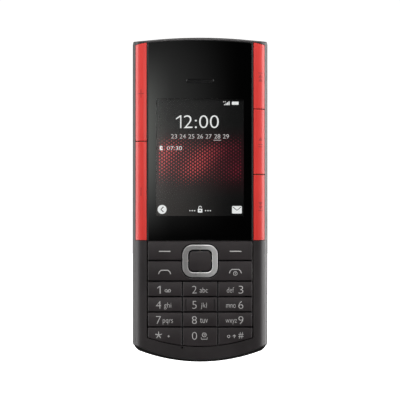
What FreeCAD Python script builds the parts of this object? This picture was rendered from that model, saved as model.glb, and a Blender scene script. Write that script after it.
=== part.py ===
"""Slider phone: a bar phone whose rear cover slides down its back over two earbuds.

Frame: the phone stands upright, +X to its right, +Y to its back and +Z to its top. The origin is
the centre of its box. All lengths are millimetres.
"""
import FreeCAD, Part
import math
import os
from types import SimpleNamespace

import Sketcher

Vector = FreeCAD.Vector
doc = FreeCAD.newDocument("SliderPhone")

# ---------------------------------------------------------------- driving dimensions
DIMENSIONS = {
    # outline of the whole phone, seen from the front
    "half_width": 28.8,
    "top_edge": 69.8,
    "bottom_edge": -69.8,
    "top_corner": 3.0,
    "bottom_corner": 4.8,
    "top_arc": 211.8,
    "bottom_arc": 73.9,
    # levels through the thickness, front to back
    "glass_front": -7.45,
    "ring_front": -7.45,
    "cap_front": -7.3,
    "strip_front": -7.3,
    "face_front": -7.2,
    "glass_back": -6.65,
    "ledge_front": -6.6,
    "wall_back": -5.7,
    "board_front": -4.1,
    "board_back": -3.3,
    "shelf_back": -3.6,
    "chassis_front": -1.9,
    "chassis_back": -1.3,
    "split_level": 1.5,
    "cover_front": 1.8,
    "rear_wall": 4.9,
    "rear_level": 6.0,
    "plate_front": 6.25,
    "cover_inside": 6.55,
    "back_level": 7.45,
    # front housing
    "front_inset": 0.2,
    "chin_edge": -68.9,
    "front_round": 5.5,
    "end_round": 1.2,
    "rim_edge": 0.4,
    "slope_front": -6.3,
    "top_slope": 67.75,
    "top_slope_arc": 260.0,
    "chin_slope": -67.0,
    "chin_slope_arc": 65.0,
    "side_reach": 0.99,
    "cavity_wall": 1.7,
    "cavity_top": 66.4,
    "cavity_low": -66.25,
    "boss_radius": 1.8,
    "pilot_radius": 0.75,
    "running_gap": 0.3,
    # front window and display
    "window_half": 21.9,
    "window_top": 66.7,
    "window_gap": 0.2,
    "window_edge": 0.15,
    "window_bottom": -17.0,
    "opening_half": 22.3,
    "panel_half": 20.6,
    "panel_front": -6.6,
    "tray_level": -6.0,
    "tray_deep": 1.5,
    "panel_top": 45.6,
    "panel_bottom": -12.6,
    "active_half": 18.36,
    "active_top": 42.2,
    "active_bottom": -6.76,
    "slot_half": 5.55,
    "slot_low": 49.0,
    "slot_high": 50.5,
    "mesh_front": -7.15,
    "mesh_deep": 0.55,
    "mesh_gap": 0.06,
    "receiver_front": -6.5,
    "receiver_deep": 2.3,
    "receiver_half_wide": 6.0,
    "receiver_half_high": 2.9,
    "receiver_corner": 1.2,
    "receiver_lift": 0.25,
    # red side keys
    "strip_inner": 22.4,
    "strip_outer": 27.1,
    "strip_top": 65.75,
    "strip_slope": 0.8,
    "strip_bottom": -16.9,
    "strip_back": -4.9,
    "strip_floor": -4.3,
    "strip_gap": 0.35,
    "strip_clear": 0.15,
    "strip_edge": 0.15,
    "flex_deep": 0.2,
    "flex_inset": 0.5,
    "volume_split": 24.5,
    "next_split": 38.0,
    "previous_split": 10.6,
    # keypad
    "key_outer": 21.8,
    "column_split": 7.42,
    "key_gap": 0.6,
    "key_top": -17.35,
    "function_split": -25.5,
    "function_bottom": -34.1,
    "row_split_one": -40.6,
    "row_split_two": -47.0,
    "row_split_three": -53.3,
    "key_bottom": -61.3,
    "key_arc": 67.5,
    "key_edge": 0.2,
    "stem_height": -56.6,
    "dome_radius": 1.9,
    "dome_rise": 0.07,
    "film_deep": 0.08,
    "film_low": -59.5,
    "film_inset": 0.4,
    "cap_back": -6.05,
    "stem_back": -4.6,
    "stem_radius": 1.3,
    "stem_hole": 1.7,
    "mat_front": -5.35,
    "mat_back": -4.85,
    "seam": 0.16,
    # navigation ring
    "ring_middle": -25.65,
    "ring_half_wide": 7.36,
    "ring_half_high": 6.85,
    "ring_corner": 4.2,
    "ring_hole_wide": 5.04,
    "ring_hole_high": 4.66,
    "ring_hole_corner": 2.1,
    "ring_clear": 0.45,
    "ring_edge": 0.35,
    "ring_back": -6.1,
    "pad_front": -5.9,
    "pad_back": -5.65,
    "rib_front": -6.08,
    "rib_half": 0.4,
    "centre_half_wide": 4.5,
    "centre_half_high": 4.05,
    "centre_corner": 1.7,
    "nub_wide": 6.0,
    "nub_high": 5.5,
    "nub_radius": 0.8,
    "nub_hole": 1.15,
    # rear housing, slider and its guide
    "rear_inset": 1.6,
    "slider_top": 64.8,
    "cap_bottom": 65.05,
    "cover_wall": 1.3,
    "back_round": 3.2,
    "inside_round": 0.8,
    "island_half": 10.0,
    "island_bottom": 52.9,
    "rail_middle": 24.6,
    "rail_half": 1.8,
    "rail_depth": 1.5,
    "rail_wall": 0.3,
    "rail_slot": 0.75,
    "rail_low": -60.0,
    "rail_high": 62.0,
    "runner_low": -10.0,
    "runner_high": 60.0,
    "runner_head": 1.25,
    "runner_neck": 0.5,
    "slide_travel": 46.0,
    "grip_low": 34.0,
    "grip_high": 64.4,
    "grip_outer": 29.0,
    "grip_inner": 28.35,
    "grip_front": 2.45,
    "grip_back": 4.55,
    "grip_gap": 0.05,
    "spring_side": 15.5,
    "spring_height": -52.5,
    "spring_bump": 0.75,
    "plate_hole": 1.1,
    # earbuds and their tray
    "tray_half": 21.8,
    "tray_low": 19.6,
    "tray_high": 52.4,
    "tray_front": -1.2,
    "bud_side": 11.4,
    "bud_height": 43.6,
    "bud_radius": 7.4,
    "bud_front": -0.4,
    "bud_back": 5.6,
    "stem_side": 14.6,
    "stem_half": 3.1,
    "stem_low": 24.0,
    "bud_clear": 0.3,
    "bud_meet": 1.0,
    "bud_round_back": 1.2,
    "bud_round_front": 0.8,
    "cap_radius": 4.5,
    "cap_sunk": 0.35,
    "cap_proud": 0.05,
    "cap_round": 0.15,
    "pin_side": 1.4,
    "pin_level": 2.6,
    "pin_radius": 0.5,
    "pin_low": 22.0,
    "pin_high": 24.1,
    "well_floor": 0.15,
    # battery
    "battery_half": 19.0,
    "battery_low": -44.0,
    "battery_high": 14.5,
    "battery_front": -1.2,
    "battery_back": 4.0,
    "door_half": 20.4,
    "door_low": -47.6,
    "door_high": 17.2,
    # camera and flash
    "camera_side": -4.2,
    "flash_side": 4.8,
    "camera_height": 59.0,
    "camera_half": 4.0,
    "camera_front": 1.8,
    "barrel_front": 4.6,
    "barrel_back": 6.5,
    "barrel_radius": 3.0,
    "pupil_radius": 1.1,
    "pupil_floor": 5.8,
    "lens_front": 6.6,
    "lens_back": 7.3,
    "lens_radius": 3.5,
    "lamp_front": 5.2,
    "lamp_radius": 1.9,
    "lamp_round": 0.2,
    # sockets in the top edge
    "jack_side": 12.0,
    "jack_level": -1.2,
    "jack_bore": 1.8,
    "usb_side": -12.2,
    "socket_end": 67.9,
    "jack_body_low": 55.5,
    "jack_body_high": 65.5,
    "jack_body_half": 3.0,
    "jack_body_deep": 4.4,
    "jack_collar": 2.4,
    "jack_hole": 2.5,
    "jack_floor": 56.5,
    "usb_half": 3.9,
    "usb_deep": 2.8,
    "usb_low": 62.5,
    "usb_wall": 0.3,
    "usb_tongue_front": 1.1,
    "usb_tongue_back": 1.8,
    "usb_tongue_inset": 1.2,
    # screws
    "top_screw_side": 19.2,
    "top_screw_height": 58.5,
    "low_screw_side": 14.0,
    "low_screw_height": -63.4,
    # microphone
    "mic_side": -7.48,
    "mic_height": -61.85,
    "mic_low": -64.3,
    "mic_high": -61.2,
    "mic_half": 1.8,
    "mic_deep": 1.1,
    "mic_hole": 0.42,
    "mic_port": 0.3,
    # loudspeaker and vibration motor
    "speaker_side": -2.0,
    "speaker_height": -56.4,
    "speaker_front": 1.7,
    "speaker_deep": 2.8,
    "speaker_pitch": 2.4,
    "speaker_first": -6.8,
    "motor_side": 15.5,
    "motor_height": -54.5,
    "motor_radius": 4.0,
    "motor_deep": 2.7,
    # main board
    "board_half": 21.8,
    "board_high": 64.0,
    "board_low": -60.5,
    "tongue_half": 11.0,
    "tongue_low": -65.1,
}

sheet = doc.addObject("Spreadsheet::Sheet", "Sizes")
for row, (alias, amount) in enumerate(DIMENSIONS.items(), start=1):
    sheet.set(f"A{row}", alias)
    sheet.set(f"B{row}", str(amount))
    sheet.setAlias(f"B{row}", alias)
doc.recompute()


class Size:
    """A length that carries both its value and the sheet expression it comes from."""

    def __init__(self, value, text):
        self.value = value
        self.text = text

    def _join(self, other, sign, value):
        return Size(value, f"({self.text} {sign} {other.text})")

    def __add__(self, other):
        other = size(other)
        return self._join(other, "+", self.value + other.value)

    def __radd__(self, other):
        return size(other) + self

    def __sub__(self, other):
        other = size(other)
        return self._join(other, "-", self.value - other.value)

    def __rsub__(self, other):
        return size(other) - self

    def __mul__(self, other):
        other = size(other)
        return self._join(other, "*", self.value * other.value)

    def __rmul__(self, other):
        return size(other) * self

    def __truediv__(self, other):
        other = size(other)
        return self._join(other, "/", self.value / other.value)

    def __neg__(self):
        return Size(-self.value, f"(-1 * {self.text})")

    def root(self):
        """The square root."""
        return Size(math.sqrt(self.value), f"sqrt({self.text})")


def size(amount):
    """A plain number as a Size; a Size stays as it is."""
    return amount if isinstance(amount, Size) else Size(float(amount), f"({amount})")


S = SimpleNamespace(**{alias: Size(amount, f"Sizes.{alias}") for alias, amount in DIMENSIONS.items()})

# ---------------------------------------------------------------- drawing helpers
SAME_PLACE = 1e-4
THROUGH = 200
FRONT, ABOVE, SIDE = "XZ_Plane", "XY_Plane", "YZ_Plane"
NORMAL = {FRONT: -1, ABOVE: 1, SIDE: 1}
SIDES = (("right", 1), ("left", -1))
nodes = []


def keep(item, label):
    """Name a finished piece and list it for export."""
    item.Label = label
    nodes.append(item)
    return item


def bind(item, prop, amount):
    """Set a property from the sheet."""
    item.setExpression(prop, size(amount).text)


class Profile:
    """A sketch on a plane of its body, every point of which is bound to the sheet."""

    def __init__(self, body, name, plane, level):
        self.body = body
        self.normal = NORMAL[plane]
        self.sketch = body.newObject("Sketcher::SketchObject", f"{body.Name}_{name}")
        support = [item for item in body.Origin.OriginFeatures if item.Role == plane][0]
        self.sketch.AttachmentSupport = (support, [""])
        self.sketch.MapMode = "FlatFace"
        bind(self.sketch, "AttachmentOffset.Base.z", self.normal * size(level))

    def rule(self, kind, *places, amount):
        """Add a constraint whose value comes from the sheet."""
        number = self.sketch.addConstraint(Sketcher.Constraint(kind, *places, size(amount).value))
        self.sketch.setExpression(f"Constraints[{number}]", size(amount).text)

    def pin(self, piece, end, corner):
        """Hold one end of a line or arc at a corner."""
        self.rule("DistanceX", -1, 1, piece, end, amount=corner[0])
        self.rule("DistanceY", -1, 1, piece, end, amount=corner[1])

    def loop(self, corners, arcs=None):
        """Draw a closed counter-clockwise loop; arcs maps an edge to (radius, 'out' or 'in')."""
        corners = [(size(u), size(v)) for u, v in corners]
        arcs = arcs or {}
        ends = []
        for index, start in enumerate(corners):
            stop = corners[(index + 1) % len(corners)]
            a = Vector(start[0].value, start[1].value, 0)
            b = Vector(stop[0].value, stop[1].value, 0)
            if index not in arcs:
                ends.append((self.sketch.addGeometry(Part.LineSegment(a, b), False), 1, 2))
                continue
            radius, bulge = arcs[index]
            side = 1 if bulge == "out" else -1
            chord = b - a
            height = math.sqrt(max(size(radius).value ** 2 - (chord.Length / 2) ** 2, 0))
            centre = (a + b) / 2 + Vector(-chord.y, chord.x, 0).normalize() * height * side
            first, last = (a, b) if side > 0 else (b, a)
            low = math.atan2(first.y - centre.y, first.x - centre.x)
            high = math.atan2(last.y - centre.y, last.x - centre.x)
            if high < low:
                high += 2 * math.pi
            circle = Part.Circle(centre, Vector(0, 0, 1), size(radius).value)
            piece = self.sketch.addGeometry(Part.ArcOfCircle(circle, low, high), False)
            ends.append((piece, 1, 2) if side > 0 else (piece, 2, 1))
        for index, corner in enumerate(corners):
            piece, start_end, _ = ends[index]
            before, _, stop_end = ends[index - 1]
            coincident = Sketcher.Constraint("Coincident", piece, start_end, before, stop_end)
            self.sketch.addConstraint(coincident)
            self.pin(piece, start_end, corner)
            if index in arcs:
                self.rule("Radius", piece, amount=arcs[index][0])
        return self

    def box(self, u_low, u_high, v_low, v_high):
        """Draw an upright rectangle."""
        return self.loop([(u_low, v_low), (u_high, v_low), (u_high, v_high), (u_low, v_high)])

    def circle(self, u, v, radius):
        """Draw a circle."""
        u, v, radius = size(u), size(v), size(radius)
        round_one = Part.Circle(Vector(u.value, v.value, 0), Vector(0, 0, 1), radius.value)
        piece = self.sketch.addGeometry(round_one, False)
        self.pin(piece, 3, (u, v))
        self.rule("Radius", piece, amount=radius)
        return self

    def rounded_box(self, u_middle, v_middle, half_wide, half_high, radius):
        """Draw a rectangle with round corners."""
        left, right = u_middle - half_wide, u_middle + half_wide
        low, high = v_middle - half_high, v_middle + half_high
        corners = [
            (left + radius, low), (right - radius, low), (right, low + radius),
            (right, high - radius), (right - radius, high), (left + radius, high),
            (left, high - radius), (left, low + radius),
        ]
        return self.loop(corners, {edge: (radius, "out") for edge in (1, 3, 5, 7)})


def new_body(name):
    """An empty body, listed under its name."""
    return keep(doc.addObject("PartDesign::Body", name), name)


def volume_of(body):
    """Volume of what the body holds so far."""
    return body.Shape.Volume if body.Tip is not None and not body.Shape.isNull() else 0.0


def pad(profile, length, toward):
    """Add material from the sketch along the plane's axis, toward +1 or -1."""
    feature = profile.body.newObject("PartDesign::Pad", profile.sketch.Name + "_pad")
    feature.Profile = profile.sketch
    feature.Reversed = toward != profile.normal
    bind(feature, "Length", length)
    before = volume_of(profile.body)
    doc.recompute()
    if volume_of(profile.body) <= before + SAME_PLACE:
        raise RuntimeError(f"{feature.Name} adds nothing")


def pocket(profile, length, toward):
    """Remove material from the sketch along the plane's axis, toward +1 or -1."""
    feature = profile.body.newObject("PartDesign::Pocket", profile.sketch.Name + "_cut")
    feature.Profile = profile.sketch
    feature.Reversed = toward == profile.normal
    bind(feature, "Length", length)
    before = volume_of(profile.body)
    doc.recompute()
    if volume_of(profile.body) >= before - SAME_PLACE:
        raise RuntimeError(f"{feature.Name} cuts nothing")


def edge_points(edge):
    """Both ends and the middle of an edge."""
    middle = edge.valueAt((edge.FirstParameter + edge.LastParameter) / 2)
    return [vertex.Point for vertex in edge.Vertexes] + [middle]


def at_level(axis, level):
    """Test for edges that lie in one plane across an axis."""
    target = size(level).value
    return lambda edge: all(abs(getattr(point, axis) - target) < SAME_PLACE for point in edge_points(edge))


def along(axis):
    """Test for straight edges along an axis."""
    others = [other for other in "xyz" if other != axis]

    def test(edge):
        points = edge_points(edge)
        return all(
            abs(getattr(point, other) - getattr(points[0], other)) < SAME_PLACE
            for point in points
            for other in others
        )

    return test


def round_edges(body, radius, *tests, kind="PartDesign::Fillet"):
    """Fillet or chamfer every edge of the body that passes all the tests."""
    base = body.Tip
    names = [
        f"Edge{number}"
        for number, edge in enumerate(base.Shape.Edges, start=1)
        if all(test(edge) for test in tests)
    ]
    if not names:
        raise RuntimeError(f"{body.Name} has no such edge")
    feature = body.newObject(kind, f"{body.Name}_edge")
    feature.Base = (base, names)
    bind(feature, "Radius" if kind.endswith("Fillet") else "Size", radius)
    doc.recompute()
    if feature.Shape.isNull() or not feature.Shape.isValid():
        raise RuntimeError(f"{feature.Name} failed on {names}")


def block(name, x, y, z):
    """A rectangular block between three pairs of sizes."""
    item = doc.addObject("Part::Box", name)
    for prop, axis, (low, high) in zip(("Length", "Width", "Height"), "xyz", (x, y, z)):
        bind(item, prop, size(high) - low)
        bind(item, f"Placement.Base.{axis}", low)
    return item


def rod(name, axis, radius, low, high, centre):
    """A cylinder along x, y or z, from low to high, about a centre in the other two axes."""
    item = doc.addObject("Part::Cylinder", name)
    turn = {"x": (0, 90, 0), "y": (0, 0, -90), "z": (0, 0, 0)}[axis]
    item.Placement.Rotation = FreeCAD.Rotation(*turn)
    bind(item, "Radius", radius)
    bind(item, "Height", size(high) - low)
    places = dict(zip([other for other in "xyz" if other != axis], centre))
    places[axis] = low
    for other, amount in places.items():
        bind(item, f"Placement.Base.{other}", amount)
    return item


def cut(name, base, *tools):
    """The base less all the tools."""
    for number, tool in enumerate(tools):
        item = doc.addObject("Part::Cut", f"{name}_{number}")
        item.Base, item.Tool = base, tool
        base = item
    return base


def fuse(name, *items):
    """Several solids joined into one."""
    item = doc.addObject("Part::MultiFuse", name)
    item.Shapes = list(items)
    return item


def group(name, *items):
    """Several separate solids kept as one piece."""
    item = doc.addObject("Part::Compound", name)
    item.Links = list(items)
    return item


def soften(name, base, radius, *tests):
    """Round the edges of a boolean or primitive that pass all the tests."""
    doc.recompute()
    item = doc.addObject("Part::Fillet", name)
    item.Base = base
    amount = size(radius).value
    item.Edges = [
        (number, amount, amount)
        for number, edge in enumerate(base.Shape.Edges, start=1)
        if all(test(edge) for test in tests)
    ]
    return item


# ---------------------------------------------------------------- shared outlines
def arc_corner(half, corner, arc, edge, sign):
    """Where a corner arc meets the side, and where it meets the end arc, on the right side."""
    reach = ((arc - corner) * (arc - corner) - (half - corner) * (half - corner)).root()
    corner_height = edge - sign * arc + sign * reach
    share = arc / (arc - corner)
    return corner_height, ((half - corner) * share, edge - sign * arc + sign * reach * share)


def plan_points(inset, bottom, top_end=None):
    """Named points of the phone's outline, moved in by an inset, with its own bottom and top edge."""
    half = S.half_width - inset
    top_end = top_end or S.top_edge - inset
    top = arc_corner(half, S.top_corner - inset, S.top_arc - inset, top_end, 1)
    low = arc_corner(half, S.bottom_corner - inset, S.bottom_arc - inset, bottom, -1)
    return SimpleNamespace(half=half, top_side=top[0], top_end=top[1], low_side=low[0], low_end=low[1])


def mirrored(point):
    """The same point on the other side."""
    return (-point[0], point[1])


def full_outline(profile, inset, bottom, top=None):
    """The whole outline: straight sides, round corners and shallow end arcs."""
    top = top or S.top_edge - inset
    spot = plan_points(inset, bottom, top)
    corners = [
        mirrored(spot.low_end), (0, bottom), spot.low_end, (spot.half, spot.low_side),
        (spot.half, spot.top_side), spot.top_end, (0, top), mirrored(spot.top_end),
        (-spot.half, spot.top_side), (-spot.half, spot.low_side),
    ]
    low_corner, top_corner = S.bottom_corner - inset, S.top_corner - inset
    low_arc, top_arc = S.bottom_arc - inset, S.top_arc - inset
    radii = {
        0: low_arc, 1: low_arc, 2: low_corner, 4: top_corner,
        5: top_arc, 6: top_arc, 7: top_corner, 9: low_corner,
    }
    return profile.loop(corners, {edge: (radius, "out") for edge, radius in radii.items()})


def open_outline(profile, inset, bottom, top):
    """The outline's sides and bottom, closed by a straight line at a given height."""
    spot = plan_points(inset, bottom)
    corners = [
        mirrored(spot.low_end), spot.low_end, (spot.half, spot.low_side), (spot.half, top),
        (-spot.half, top), (-spot.half, spot.low_side),
    ]
    corner = (S.bottom_corner - inset, "out")
    return profile.loop(corners, {0: (S.bottom_arc - inset, "out"), 1: corner, 5: corner})


def outside_outline(profile, inset, bottom, top, reach):
    """The band outside the outline's sides and bottom, out to a reach."""
    spot = plan_points(inset, bottom)
    corners = [
        (-reach, -reach), (reach, -reach), (reach, top), (spot.half, top),
        (spot.half, spot.low_side), spot.low_end, mirrored(spot.low_end), (-spot.half, spot.low_side),
        (-spot.half, top), (-reach, top),
    ]
    corner = (S.bottom_corner - inset, "in")
    return profile.loop(corners, {4: corner, 5: (S.bottom_arc - inset, "in"), 6: corner})


def round_sides(body, name, half, face, radius, toward):
    """Round the two long edges of a face by a cut along Z; toward points from the face inward.

    The arc is tangent to the face and stops just short of being tangent to the side.
    """
    beyond = 3
    reach = radius * S.side_reach
    shoulder, low = half - reach, face + toward * (radius - (radius * radius - reach * reach).root())
    clear, high = half + beyond, face - toward * beyond
    corners = [(half, low), (shoulder, face), (shoulder, high), (clear, high), (clear, low)]
    flipped = [corners[1], corners[0]] + corners[:1:-1]
    right, left = (corners, flipped) if toward > 0 else (flipped, corners)
    profile = Profile(body, name, ABOVE, THROUGH / 2)
    profile.loop(right, {0: (radius, "in")})
    profile.loop([mirrored(point) for point in left], {0: (radius, "in")})
    pocket(profile, THROUGH, -1)


def slope_end(body, name, edge, back_edge, radius, sign, angle):
    """Slope one end of the front housing back toward the split by a cut turned about a far axis.

    The cut's front edge lies at edge on slope_front, its back edge at back_edge on the split.
    """
    axis = edge - sign * radius
    profile = Profile(body, name, SIDE, size(0))
    bind(profile.sketch, "AttachmentOffset.Base.y", axis)
    beyond = 4
    rise = (back_edge - edge) / (S.split_level - S.slope_front)
    front, back = S.slope_front - beyond, S.split_level + beyond
    low, high = edge - rise * beyond - axis, back_edge + rise * beyond - axis
    far = size(radius + 3 * beyond) * sign
    corners = [(front, low), (back, high), (back, far), (front, far)]
    profile.loop(corners if sign > 0 else corners[::-1])
    feature = body.newObject("PartDesign::Groove", f"{body.Name}_{name}_turned")
    feature.Profile = profile.sketch
    feature.ReferenceAxis = (profile.sketch, ["H_Axis"])
    feature.Midplane = True
    feature.Angle = angle
    before = volume_of(body)
    doc.recompute()
    if volume_of(body) >= before - SAME_PLACE:
        raise RuntimeError(f"{feature.Name} cuts nothing")


def arc_height(edge, radius, x, sign):
    """Height at x of an end arc about the middle line whose extreme height is edge."""
    return edge - sign * radius + sign * (radius * radius - x * x).root()


def end_rims(front_limit):
    """Test for the rim edges round the top and the chin that lie in front of or behind a level."""
    def test(edge):
        points = edge_points(edge)
        high = min(abs(point.z) for point in points) > S.strip_top.value - 6
        return high and all(front_limit(point.y) for point in points) and not along("y")(edge)

    return test


# ---------------------------------------------------------------- front of the phone
def strip_corners(side, low, high, gap):
    """Plan of a side key on the right (side 1) or left (-1), grown by a gap all round."""
    inner, outer = S.strip_inner - gap, S.strip_outer + gap
    right = [(inner, low - gap), (outer, low - gap), (outer, high[1] + gap), (inner, high[0] + gap)]
    return right if side > 0 else [mirrored(point) for point in right[::-1]]


STRIP_END = (S.strip_top, S.strip_top - S.strip_slope)


def keypad_floor(x, gap):
    """Height of the keypad's curved lower edge at x, lowered by a gap."""
    return arc_height(S.key_bottom - gap, S.key_arc + gap, x, -1)


def board_plan(profile, grow):
    """Outline of the main board with its lower tongue, grown by a clearance."""
    half, tongue = S.board_half + grow, S.tongue_half + grow
    shoulder, foot, high = S.board_low - grow, S.tongue_low - grow, S.board_high + grow
    return profile.loop([(-tongue, foot), (tongue, foot), (tongue, shoulder), (half, shoulder), (half, high),
                         (-half, high), (-half, shoulder), (-tongue, shoulder)])


def make_front_housing():
    """Dark frame with side bezels, chin, window recess, key openings and screw bosses."""
    body = new_body("front_housing")
    plan = Profile(body, "plan", FRONT, S.face_front)
    full_outline(plan, S.front_inset, S.chin_edge)
    pad(plan, S.split_level - S.face_front, +1)
    round_sides(body, "sides", S.half_width - S.front_inset, S.face_front, S.front_round, +1)
    top_angle, chin_angle = 16, 60
    slope_end(body, "top_slope", S.top_slope, S.top_edge - S.front_inset, S.top_slope_arc, 1, top_angle)
    slope_end(body, "chin_slope", S.chin_slope, S.chin_edge, S.chin_slope_arc, -1, chin_angle)
    round_edges(body, S.rim_edge, at_level("y", S.face_front), along_ends)
    recess_front(body)
    hollow_front(body)

    bosses = Profile(body, "bosses", FRONT, S.wall_back)
    for side in (1, -1):
        bosses.circle(side * S.top_screw_side, S.top_screw_height, S.boss_radius)
        bosses.circle(side * S.low_screw_side, S.low_screw_height, S.boss_radius)
    pad(bosses, S.split_level - S.wall_back, +1)
    pilots = Profile(body, "pilots", FRONT, S.shelf_back)
    for side in (1, -1):
        pilots.circle(side * S.top_screw_side, S.top_screw_height, S.pilot_radius)
        pilots.circle(side * S.low_screw_side, S.low_screw_height, S.pilot_radius)
    pocket(pilots, S.split_level - S.shelf_back, +1)

    hole = Profile(body, "microphone_hole", FRONT, S.face_front - 1)
    hole.circle(S.mic_side, S.mic_height, S.mic_hole)
    pocket(hole, S.shelf_back - S.face_front + 1, +1)
    wall = 4.3
    sockets = Profile(body, "socket_holes", ABOVE, S.top_edge - wall)
    sockets.circle(S.jack_side, S.jack_level, S.jack_hole)
    reach, front = S.usb_half + S.window_gap, S.board_back - S.strip_clear
    sockets.box(S.usb_side - reach, S.usb_side + reach, front, front + S.usb_deep + 2 * S.strip_clear)
    pocket(sockets, wall + 1, +1)


def along_ends(edge):
    """Test for edges whose middle lies beyond the side keys or the keypad."""
    height = edge_points(edge)[-1].z
    return height > S.strip_top.value or height < S.key_bottom.value


def recess_front(body):
    """Recesses of the front housing for the window, the side keys, the keypad and the display."""
    half, top = S.opening_half, S.window_top + S.window_gap
    recess = Profile(body, "recess", FRONT, S.face_front - 1)
    top_side = arc_height(top, S.top_arc, half, 1)
    lowest = S.key_top + 0.05
    corners = [(-half, lowest), (half, lowest), (half, top_side), (-half, top_side)]
    recess.loop(corners, {2: (S.top_arc, "out")})
    pocket(recess, S.ledge_front - S.face_front + 1, +1)

    slots = Profile(body, "strip_slots", FRONT, S.face_front - 1)
    for side in (1, -1):
        slots.loop(strip_corners(side, S.strip_bottom, STRIP_END, S.strip_clear))
    pocket(slots, S.strip_floor - S.face_front + 1, +1)

    keypad = Profile(body, "keypad_opening", FRONT, S.face_front - 1)
    low_side, high = keypad_floor(half, S.running_gap), S.key_top + 0.1
    corners = [(-half, low_side), (half, low_side), (half, high), (-half, high)]
    keypad.loop(corners, {0: (S.key_arc + S.running_gap, "out")})
    pocket(keypad, S.shelf_back - S.face_front + 1, +1)

    side_gap, end_gap = 0.35, 0.3
    ear_half, ear_gap, ear_top = 6.3, 1.3, 53.1
    wide = S.panel_half + side_gap
    openings = Profile(body, "display_opening", FRONT, S.ledge_front - 1)
    openings.box(-wide, wide, S.panel_bottom - end_gap, S.panel_top + end_gap)
    openings.box(-ear_half, ear_half, S.panel_top + ear_gap, ear_top)
    pocket(openings, S.wall_back - S.ledge_front + 1, +1)


def hollow_front(body):
    """Cavity of the front housing, with the seats of the board and the microphone."""
    half, low, high = S.opening_half, -20, 65
    middle = Profile(body, "middle_cavity", FRONT, S.wall_back)
    middle.box(-half, half, low, high)
    pocket(middle, S.shelf_back - S.wall_back, +1)

    cavity = Profile(body, "cavity", FRONT, S.shelf_back)
    full_outline(cavity, S.front_inset + S.cavity_wall, S.cavity_low, S.cavity_top)
    pocket(cavity, S.split_level - S.shelf_back, +1)

    fit, clear = 0.15, size(0.25)
    board_front = S.board_front - fit
    seat = board_plan(Profile(body, "board_seat", FRONT, board_front), clear)
    pocket(seat, S.shelf_back - board_front, +1)
    mic_front, reach = S.board_front - S.mic_deep - fit, S.mic_half + fit
    seat = Profile(body, "microphone_seat", FRONT, mic_front)
    seat.box(S.mic_side - reach, S.mic_side + reach, S.mic_low - fit, S.mic_high + fit)
    pocket(seat, S.shelf_back - mic_front, +1)


def make_front_window():
    """Glossy pane over the display, with the earpiece slot through it."""
    body = new_body("front_window")
    plan = Profile(body, "plan", FRONT, S.glass_front)
    half = S.window_half
    top_side = arc_height(S.window_top, S.top_arc, half, 1)
    corners = [(-half, S.window_bottom), (half, S.window_bottom), (half, top_side), (-half, top_side)]
    plan.loop(corners, {2: (S.top_arc, "out")})
    pad(plan, S.glass_back - S.glass_front, +1)
    slot = Profile(body, "slot", FRONT, S.glass_front - 1)
    earpiece_slot(slot, size(0))
    pocket(slot, 3, +1)
    round_edges(body, S.window_edge, at_level("y", S.glass_front), kind="PartDesign::Chamfer")


def earpiece_slot(profile, gap):
    """Draw the earpiece slot, made smaller by a gap all round."""
    middle, high = (S.slot_low + S.slot_high) / 2, (S.slot_high - S.slot_low) / 2 - gap
    nearly_round = 0.96
    return profile.rounded_box(size(0), middle, S.slot_half - gap, high, high * nearly_round)


def make_display_panel():
    """Display cell on its backlight tray."""
    side, low, high = 1.4, 4.6, 1.6
    body = new_body("display_panel")
    tray = Profile(body, "tray", FRONT, S.tray_level)
    tray.box(-S.panel_half, S.panel_half, S.panel_bottom, S.panel_top)
    pad(tray, S.tray_deep, +1)
    cell = Profile(body, "cell", FRONT, S.panel_front)
    cell.box(-S.active_half - side, S.active_half + side, S.active_bottom - low, S.active_top + high)
    pad(cell, S.tray_level - S.panel_front, +1)


def make_earpiece():
    """Mesh in the window's slot and the receiver behind it."""
    mesh = new_body("earpiece_mesh")
    plan = Profile(mesh, "plan", FRONT, S.mesh_front)
    earpiece_slot(plan, S.mesh_gap)
    pad(plan, S.mesh_deep, +1)
    receiver = new_body("earpiece_receiver")
    case = Profile(receiver, "case", FRONT, S.receiver_front)
    middle = (S.slot_low + S.slot_high) / 2 + S.receiver_lift
    case.rounded_box(size(0), middle, S.receiver_half_wide, S.receiver_half_high, S.receiver_corner)
    pad(case, S.receiver_deep, +1)


def make_side_key(name, side, low, high):
    """One red side key: curved over its outer edge to match the bezel."""
    body = new_body(name)
    plan = Profile(body, "plan", FRONT, S.strip_front)
    plan.loop(strip_corners(side, low, high, size(0)))
    pad(plan, S.strip_back - S.strip_front, +1)
    proud = S.face_front - S.strip_front
    half = S.half_width - S.front_inset + proud
    round_sides(body, "crown", half, S.strip_front, S.front_round + proud, +1)
    round_edges(body, S.strip_edge, at_level("z", low), in_front_of(S.strip_back.value - 0.1))


def in_front_of(limit):
    """Test for edges whose middle lies in front of a level."""
    return lambda edge: edge_points(edge)[-1].y < limit


def make_side_keys():
    """Two volume keys on the left and three music keys on the right."""
    gap = S.strip_gap / 2
    volume_end, next_end, play_end = S.volume_split - gap, S.next_split - gap, S.previous_split - gap
    make_side_key("volume_up_key", -1, S.volume_split + gap, STRIP_END)
    make_side_key("volume_down_key", -1, S.strip_bottom, (volume_end, volume_end))
    make_side_key("next_key", 1, S.next_split + gap, STRIP_END)
    make_side_key("play_key", 1, S.previous_split + gap, (next_end, next_end))
    make_side_key("previous_key", 1, S.strip_bottom, (play_end, play_end))
    near, far = S.strip_inner + S.flex_inset, S.strip_outer - S.flex_inset
    depth, height = (S.strip_floor - S.flex_deep, S.strip_floor), (S.strip_bottom + 1, S.strip_top - 4)
    flexes = [
        block("side_flex_right", (near, far), depth, height),
        block("side_flex_left", (-far, -near), depth, height),
    ]
    keep(group("side_key_flexes", *flexes), "side_key_flexes")


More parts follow.
